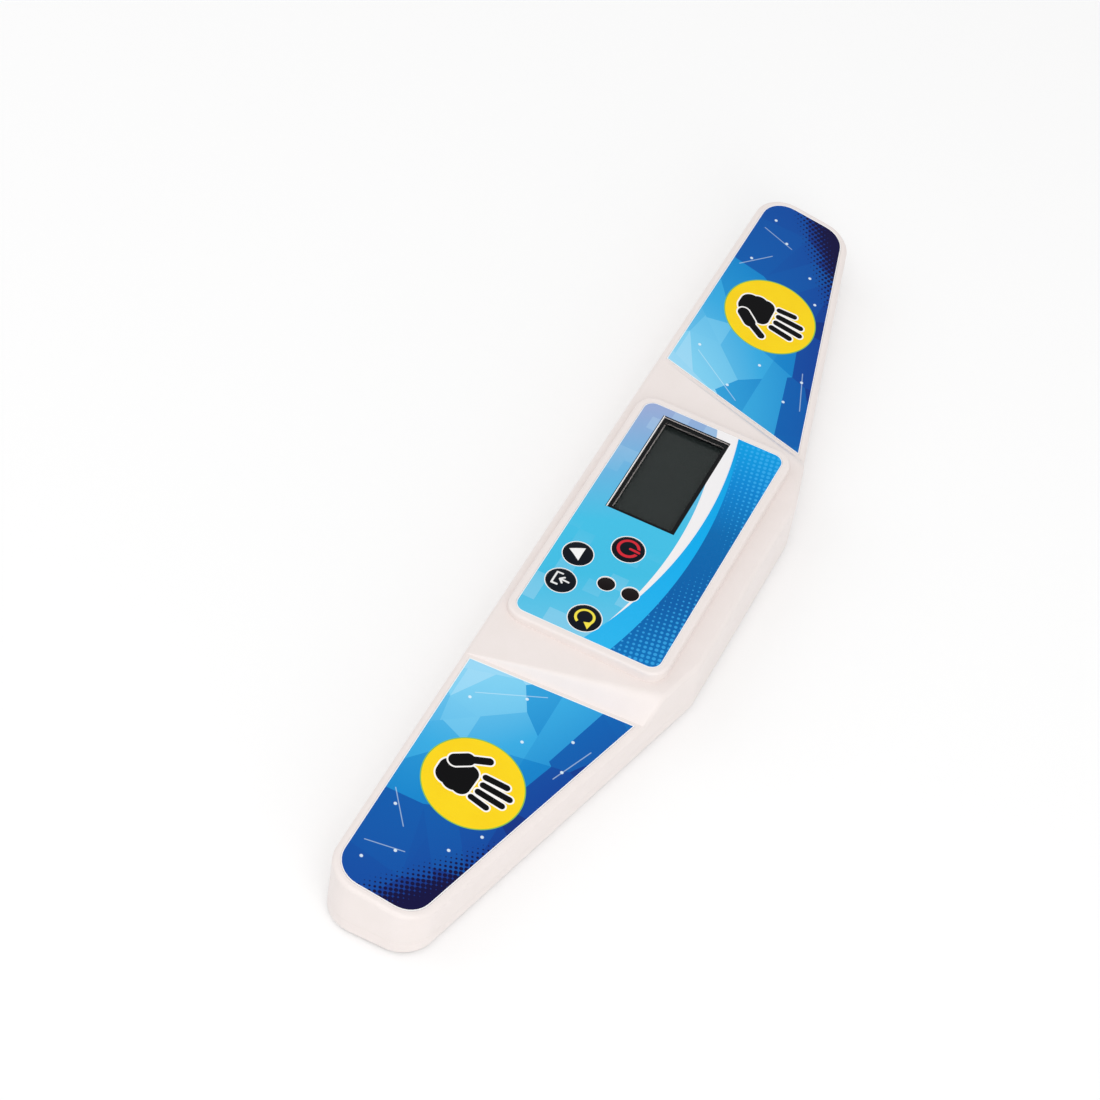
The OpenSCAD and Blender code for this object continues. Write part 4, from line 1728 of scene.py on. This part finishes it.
@dataclass
class Keys:
    """The four keys with their crowned tops, and the two lamp windows."""

    edge_round: float = 0.35
    crown: float = 0.28
    crown_rings: int = 8
    flange: float = 1.0
    flange_height: float = 0.8

    def build(self, lamp: bpy.types.Material) -> None:
        """Build the keys and the lamp windows.

        Args:
            lamp: Finish of the lamp windows.
        """
        for sign in Sign:
            node = "key_" + sign.value
            low, high = span_mm(node)
            middle = (low + high) / 2
            finish = KeyFinish(sign, (middle.x, middle.y)).make()
            obj = self._crowned(node + "_cap", low, high, self.flange)
            Bench.settle(obj, [finish], node + "_body", "key_black", [node])
        for place in ("near", "far"):
            node = "lamp_window_" + place
            low, high = span_mm(node)
            obj = self._crowned(node + "_lens", low, high, 0.0)
            Bench.settle(obj, [lamp], "case", "lamp_window", [node])

    def _crowned(
        self, name: str, low: Vector, high: Vector, flange: float
    ) -> bpy.types.Object:
        """Build a round cap with a crowned top.

        Args:
            name: The object's name.
            low: Lowest corner of its box.
            high: Highest corner of its box.
            flange: How far its flange stands out at the foot, or 0.

        Returns:
            The cap.
        """
        middle = (low + high) / 2
        outer = (high.x - low.x) / 2
        radius = outer - flange
        shoulder = high.z - self.crown - low.z
        foot = (middle.x, middle.y, low.z)
        if flange > 0:
            obj = Bench.drum(name, foot, outer, self.flange_height, 72)
            steps = ((flange, 0.0), (0.0, shoulder - self.flange_height))
            Bench.inset(obj, steps, lambda m, n: n.z > 0.9)
        else:
            obj = Bench.drum(name, foot, radius, shoulder, 72)
        top = low.z + shoulder
        Bench.bevel(
            obj, self.edge_round, 5, lambda m, w: m.z > top - HAIR and abs(w.z) < 0.1
        )
        rings = self.crown_rings
        width = (radius - self.edge_round) / rings
        rise = [self.crown * (2 - i / rings) * i / rings for i in range(rings)]
        rounds = [(width, b - a) for a, b in zip(rise, rise[1:])]
        Bench.inset(obj, rounds, lambda m, n: n.z > 0.999 and m.z > top - HAIR)
        return obj


# ---- Battery bay ----


@dataclass
class BatteryBay:
    """The battery door with its foam pad, the batteries and their springs."""

    cell_radius: float = 5.25
    cell_round: float = 0.45
    nub_radius: float = 2.7
    nub_height: float = 0.8
    nub_round: float = 0.15
    spring_turns: int = 4
    spring_steps: int = 24
    spring_radii: tuple[float, float] = (3.4, 2.2)
    spring_wire: float = 0.3
    door_round: float = 0.25
    grip_half: tuple[float, float, float] = (8.0, 0.35, 0.3)
    grip_count: int = 5
    grip_pitch: float = 1.5
    grip_inset: float = 2.2
    pad_corner: float = 1.2
    pad_rim: float = 0.12
    pad_cells: tuple[int, int] = (12, 8)
    pad_sink: float = 0.04

    def build(
        self,
        shell: bpy.types.Material,
        foam: bpy.types.Material,
        steel: bpy.types.Material,
        sleeve: bpy.types.Material,
    ) -> None:
        """Build the bay's pieces.

        Args:
            shell: Finish of the door.
            foam: Finish of the pad on the door.
            steel: Finish of the springs.
            sleeve: Finish of the batteries.
        """
        self._door(shell)
        self._pad(foam)
        for place, towards in (("near", 1), ("far", -1)):
            self._battery(place, towards, sleeve)
            self._spring(place, towards, steel)

    def _door(self, shell: bpy.types.Material) -> None:
        """Build the door with softened edges and grip grooves by its latch.

        Args:
            shell: Its finish.
        """
        low, high = span_mm("battery_door")
        obj = Bench.copy_of_node("battery_door", "battery_door_cover")
        Bench.bevel(
            obj,
            self.door_round,
            3,
            lambda m, w: m.z < low.z + HAIR and (abs(m.x) > 20 or m.y > 10),
        )
        half = Vector(self.grip_half)
        for i in range(self.grip_count):
            middle = Vector((0, high.y - self.grip_inset - i * self.grip_pitch, low.z))
            groove = Bench.block("groove", middle - half, middle + half)
            Bench.bevel(groove, self.door_round, 3, lambda m, w: True)
            Bench.join(obj, groove, Join.CUT)
        Bench.settle(obj, [shell], "door_body", "case_shell", ["battery_door"])

    def _pad(self, foam: bpy.types.Material) -> None:
        """Build the foam pad: crowned, with its edges pulled in.

        Args:
            foam: Its finish.
        """
        low, high = span_mm("battery_pad")
        obj = Bench.block("battery_foam", low, high)
        Bench.bevel(obj, self.pad_corner, 5, upright)
        for axis, count in enumerate(self.pad_cells):
            normal = (1 - axis, axis, 0)
            for i in range(1, count):
                Bench.slice(obj, low.lerp(high, i / count), normal, False)
        Bench.bevel(
            obj, self.pad_rim, 3, lambda m, w: m.z > high.z - HAIR and self._outer(m, low, high)
        )
        middle_y, half_y = (low.y + high.y) / 2, (high.y - low.y) / 2
        for vertex in obj.data.vertices:
            if vertex.co.z > high.z - HAIR:
                turn = (vertex.co.y - middle_y) / half_y * math.tau
                vertex.co.z += self.pad_sink * (math.cos(turn) - 1)
        Bench.settle(obj, [foam], "door_body", "foam", ["battery_pad"])

    @staticmethod
    def _outer(middle: Vector, low: Vector, high: Vector) -> bool:
        """Tell an edge that lies along a pad's outline."""
        reach = min(middle.x - low.x, high.x - middle.x, middle.y - low.y, high.y - middle.y)
        return reach < 0.05

    def _battery(self, place: str, towards: int, sleeve: bpy.types.Material) -> None:
        """Build one battery with its rolled shoulders, nub and recessed foot.

        Args:
            place: Which battery, near or far.
            towards: The way its nub points along x.
            sleeve: Its finish.
        """
        node = "battery_" + place
        low, high = span_mm(node)
        height = high.x - low.x - self.nub_height
        obj = Bench.drum(node + "_cell", (0, 0, 0), self.cell_radius, height)
        Bench.bevel(obj, self.cell_round, 5, lambda m, w: abs(w.z) < 0.1)
        seat = self.cell_radius - self.cell_round - self.nub_radius
        top_steps = ((0.5, 0.0), (0.15, -0.2), (seat - 0.85, 0.0), (0.2, 0.2))
        nub_steps = (
            (0.0, self.nub_height - self.nub_round),
            (self.nub_round, self.nub_round),
        )
        foot_steps = ((0.7, 0.0), (0.2, -0.2), (0.9, 0.0), (0.3, 0.15))
        Bench.inset(obj, top_steps, lambda m, n: n.z > 0.999)
        Bench.inset(obj, nub_steps, lambda m, n: n.z > 0.999 and m.xy.length < HAIR)
        Bench.inset(obj, foot_steps, lambda m, n: n.z < -0.999)
        start = low.x if towards > 0 else high.x
        middle = (low + high) / 2
        Bench.lay_along_x(obj, (start, middle.y, middle.z), towards)
        Bench.settle(obj, [sleeve], "case", "battery_can", [node])

    def _spring(self, place: str, towards: int, steel: bpy.types.Material) -> None:
        """Build one conical coil spring.

        Args:
            place: Which battery's spring.
            towards: The way from its wide end to its narrow end along x.
            steel: Its finish.
        """
        node = "battery_spring_" + place
        low, high = span_mm(node)
        wide, narrow = self.spring_radii
        start = low.x + self.spring_wire if towards > 0 else high.x - self.spring_wire
        length = high.x - low.x - 2 * self.spring_wire
        battery_low, battery_high = span_mm("battery_" + place)
        axis = (battery_low + battery_high) / 2
        route = []
        count = self.spring_steps * self.spring_turns
        for i in range(count + 1):
            share = i / count
            turn = math.tau * self.spring_turns * share
            radius = wide + (narrow - wide) * share
            y = axis.y + radius * math.cos(turn)
            z = axis.z + radius * math.sin(turn)
            route.append((start + towards * length * share, y, z))
        obj = Bench.wire(node + "_coil", route, self.spring_wire)
        Bench.settle(obj, [steel], "case", "steel", [node])


# ---- Stage ----


@dataclass
class Stage:
    """Floor, soft lights, pale surround and the camera of the photograph."""

    target: tuple[float, float, float] = (10.057, -24.696, 10.0)
    distance: float = 886.4
    azimuth: float = 107.716
    elevation: float = 48.979
    roll: float = 10.331
    lens: float = 112.7
    sensor: float = 36.0
    floor_size: float = 6000.0
    floor_colour: str = "#f2f2f2"
    floor_glow: float = 0.12
    ambient: float = 0.72
    key_light: tuple[float, ...] = (0.9, 0.35, 1.3, 1.2, 5.8)
    side_light: tuple[float, ...] = (1.1, 1.0, 0.4, 1.0, 4.4)
    fill_light: tuple[float, ...] = (0.2, -1.2, 1.2, 1.5, 3.5)

    def build(self) -> None:
        """Build the stage. A light has its place and size in metres, then watts."""
        self._camera()
        self._floor()
        self._surround()
        for name in ("key_light", "side_light", "fill_light"):
            *spot, size, power = getattr(self, name)
            self._light(name, spot, size, power)

    def _camera(self) -> None:
        """Place the camera."""
        turn = math.radians(self.azimuth)
        lift = math.radians(self.elevation)
        flat = math.cos(lift)
        back = Vector((math.sin(turn) * flat, -math.cos(turn) * flat, math.sin(lift)))
        data = bpy.data.cameras.new("camera")
        data.lens = self.lens
        data.sensor_width = self.sensor
        data.clip_start = 0.01
        camera = bpy.data.objects.new("camera", data)
        bpy.context.scene.collection.objects.link(camera)
        aim = back.to_track_quat("Z", "Y") @ Quaternion((0, 0, 1), math.radians(self.roll))
        spot = (Vector(self.target) + back * self.distance) * MM
        camera.matrix_world = Matrix.Translation(spot) @ aim.to_matrix().to_4x4()
        bpy.context.scene.camera = camera

    def _floor(self) -> None:
        """Lay the floor, pale to the camera and keeping the shadow."""
        bpy.ops.object.select_all(action="DESELECT")
        bpy.ops.mesh.primitive_plane_add(size=self.floor_size * MM, location=(0, 0, 0))
        floor = bpy.context.object
        floor.name = "floor"
        sheet = Sheet("floor_pale")
        colour = paint(self.floor_colour)
        sheet.set(Base_Color=colour, Roughness=0.9, Specular_IOR_Level=0.1)
        rays = sheet.node("ShaderNodeLightPath")
        seen = Wire(sheet, rays.outputs["Is Camera Ray"])
        seen = seen.most(Wire(sheet, rays.outputs["Is Glossy Ray"]))
        seen = seen.most(Wire(sheet, rays.outputs["Is Transmission Ray"]))
        glow = seen * self.floor_glow
        sheet.set(Emission_Color=(1.0, 1.0, 1.0, 1.0), Emission_Strength=glow)
        floor.data.materials.append(sheet.material)

    def _surround(self) -> None:
        """Make the world a soft light that looks white to the camera."""
        world = bpy.data.worlds.new("surround")
        world.use_nodes = True
        bpy.context.scene.world = world
        tree = world.node_tree
        background = tree.nodes["Background"]
        background.inputs["Color"].default_value = (1.0, 1.0, 1.0, 1.0)
        rays = tree.nodes.new("ShaderNodeLightPath")
        scale = tree.nodes.new("ShaderNodeMapRange")
        scale.inputs["To Min"].default_value = self.ambient
        scale.inputs["To Max"].default_value = 1.0
        seen = rays.outputs["Is Camera Ray"]
        for ray in ("Is Glossy Ray", "Is Transmission Ray"):
            either = tree.nodes.new("ShaderNodeMath")
            either.operation = "MAXIMUM"
            tree.links.new(seen, either.inputs[0])
            tree.links.new(rays.outputs[ray], either.inputs[1])
            seen = either.outputs[0]
        tree.links.new(seen, scale.inputs["Value"])
        tree.links.new(scale.outputs["Result"], background.inputs["Strength"])
        bpy.context.scene.view_settings.view_transform = "Standard"

    def _light(self, name: str, spot: Point, size: float, power: float) -> None:
        """Hang a square light that faces the timer.

        Args:
            name: The light's name.
            spot: Its place in metres.
            size: Its side in metres.
            power: Its power in watts.
        """
        data = bpy.data.lights.new(name, "AREA")
        data.shape = "SQUARE"
        data.size = size
        data.energy = power
        light = bpy.data.objects.new(name, data)
        light.location = spot
        light.rotation_mode = "QUATERNION"
        light.rotation_quaternion = Vector(spot).to_track_quat("Z", "Y")
        bpy.context.scene.collection.objects.link(light)


# ---- Carried-over nodes ----


@dataclass
class Insides:
    """CAD nodes that keep their shape and get their finish and soft edges."""

    edge: float = 0.15
    edge_faces: int = 2
    edge_angle: float = 40.0

    def dress(self, finishes: dict[str, bpy.types.Material]) -> None:
        """Dress every node that stays.

        Args:
            finishes: Material of each node.
        """
        for node, material in finishes.items():
            obj = frame_object(node)
            obj.data.materials.clear()
            obj.data.materials.append(material)
            for slot in obj.material_slots:
                slot.material = material
            self._soften(obj)
            LOG.info("%s: dressed", node)

    def _soften(self, obj: bpy.types.Object) -> None:
        """Give a node merged corners and fine rounded edges, as live modifiers.

        Args:
            obj: The node's object.
        """
        weld = obj.modifiers.new("merge", "WELD")
        weld.merge_threshold = Bench.NODE_GAP * MM
        bevel = obj.modifiers.new("edges", "BEVEL")
        bevel.width = self.edge * MM
        bevel.segments = self.edge_faces
        bevel.limit_method = "ANGLE"
        bevel.angle_limit = math.radians(self.edge_angle)
        normals = obj.modifiers.new("normals", "WEIGHTED_NORMAL")
        normals.keep_sharp = True


def main() -> None:
    """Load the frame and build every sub-assembly."""
    logging.basicConfig(level=logging.INFO, format="%(name)s: %(message)s")
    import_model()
    Stage().build()
    shell = CASE_WHITE.make()
    Case().build(shell, FOOT_RUBBER.make())
    black = PRINT_BLACK.make()
    Stickers().build(PanelPrint().make(), PadPrint().make(), STICKER_WHITE.make(), black)
    DisplayWindow().build(ClearFinish().make(), black)
    low, high = span_mm("display_glass")
    dark = DisplayFinish(tuple((low + high).xy / 2), tuple((high - low).xy / 2)).make()
    DisplayCell().build(dark, GLASS_EDGE.make())
    Keys().build(LAMP_WINDOW.make())
    steel, contact, copper = STEEL.make(), CONTACT.make(), COPPER.make()
    switch, plunger = SWITCH.make(), WHITE_PLASTIC.make()
    lamp_resin, grey = LAMP_RESIN.make(), GREY_LEAD.make()
    BatteryBay().build(shell, FOAM.make(), steel, BatteryFinish().make())
    finishes = {
        "display_frame": FRAME_BLACK.make(),
        "contact_strip": STRIP.make(),
        "main_board": BOARD.make(),
        "board_chip": RESIN.make(),
        "board_crystal": steel,
        "board_screws": steel,
        "case_screws": steel,
        "jack_body": switch,
        "jack_sleeve": steel,
        "jack_leads": grey,
        "lead_positive": RED_LEAD.make(),
        "lead_negative": BLACK_LEAD.make(),
        "contact_positive": contact,
        "contact_negative": contact,
        "contact_bridge": contact,
    }
    for side in ("left", "right"):
        finishes["touch_plate_" + side] = copper
        finishes["touch_lead_" + side] = grey
    for place in ("near", "far"):
        finishes["lamp_" + place] = lamp_resin
    for sign in Sign:
        finishes["switch_" + sign.value] = switch
        finishes["plunger_" + sign.value] = plunger
    Insides().dress(finishes)


if __name__ == "__main__":
    main()
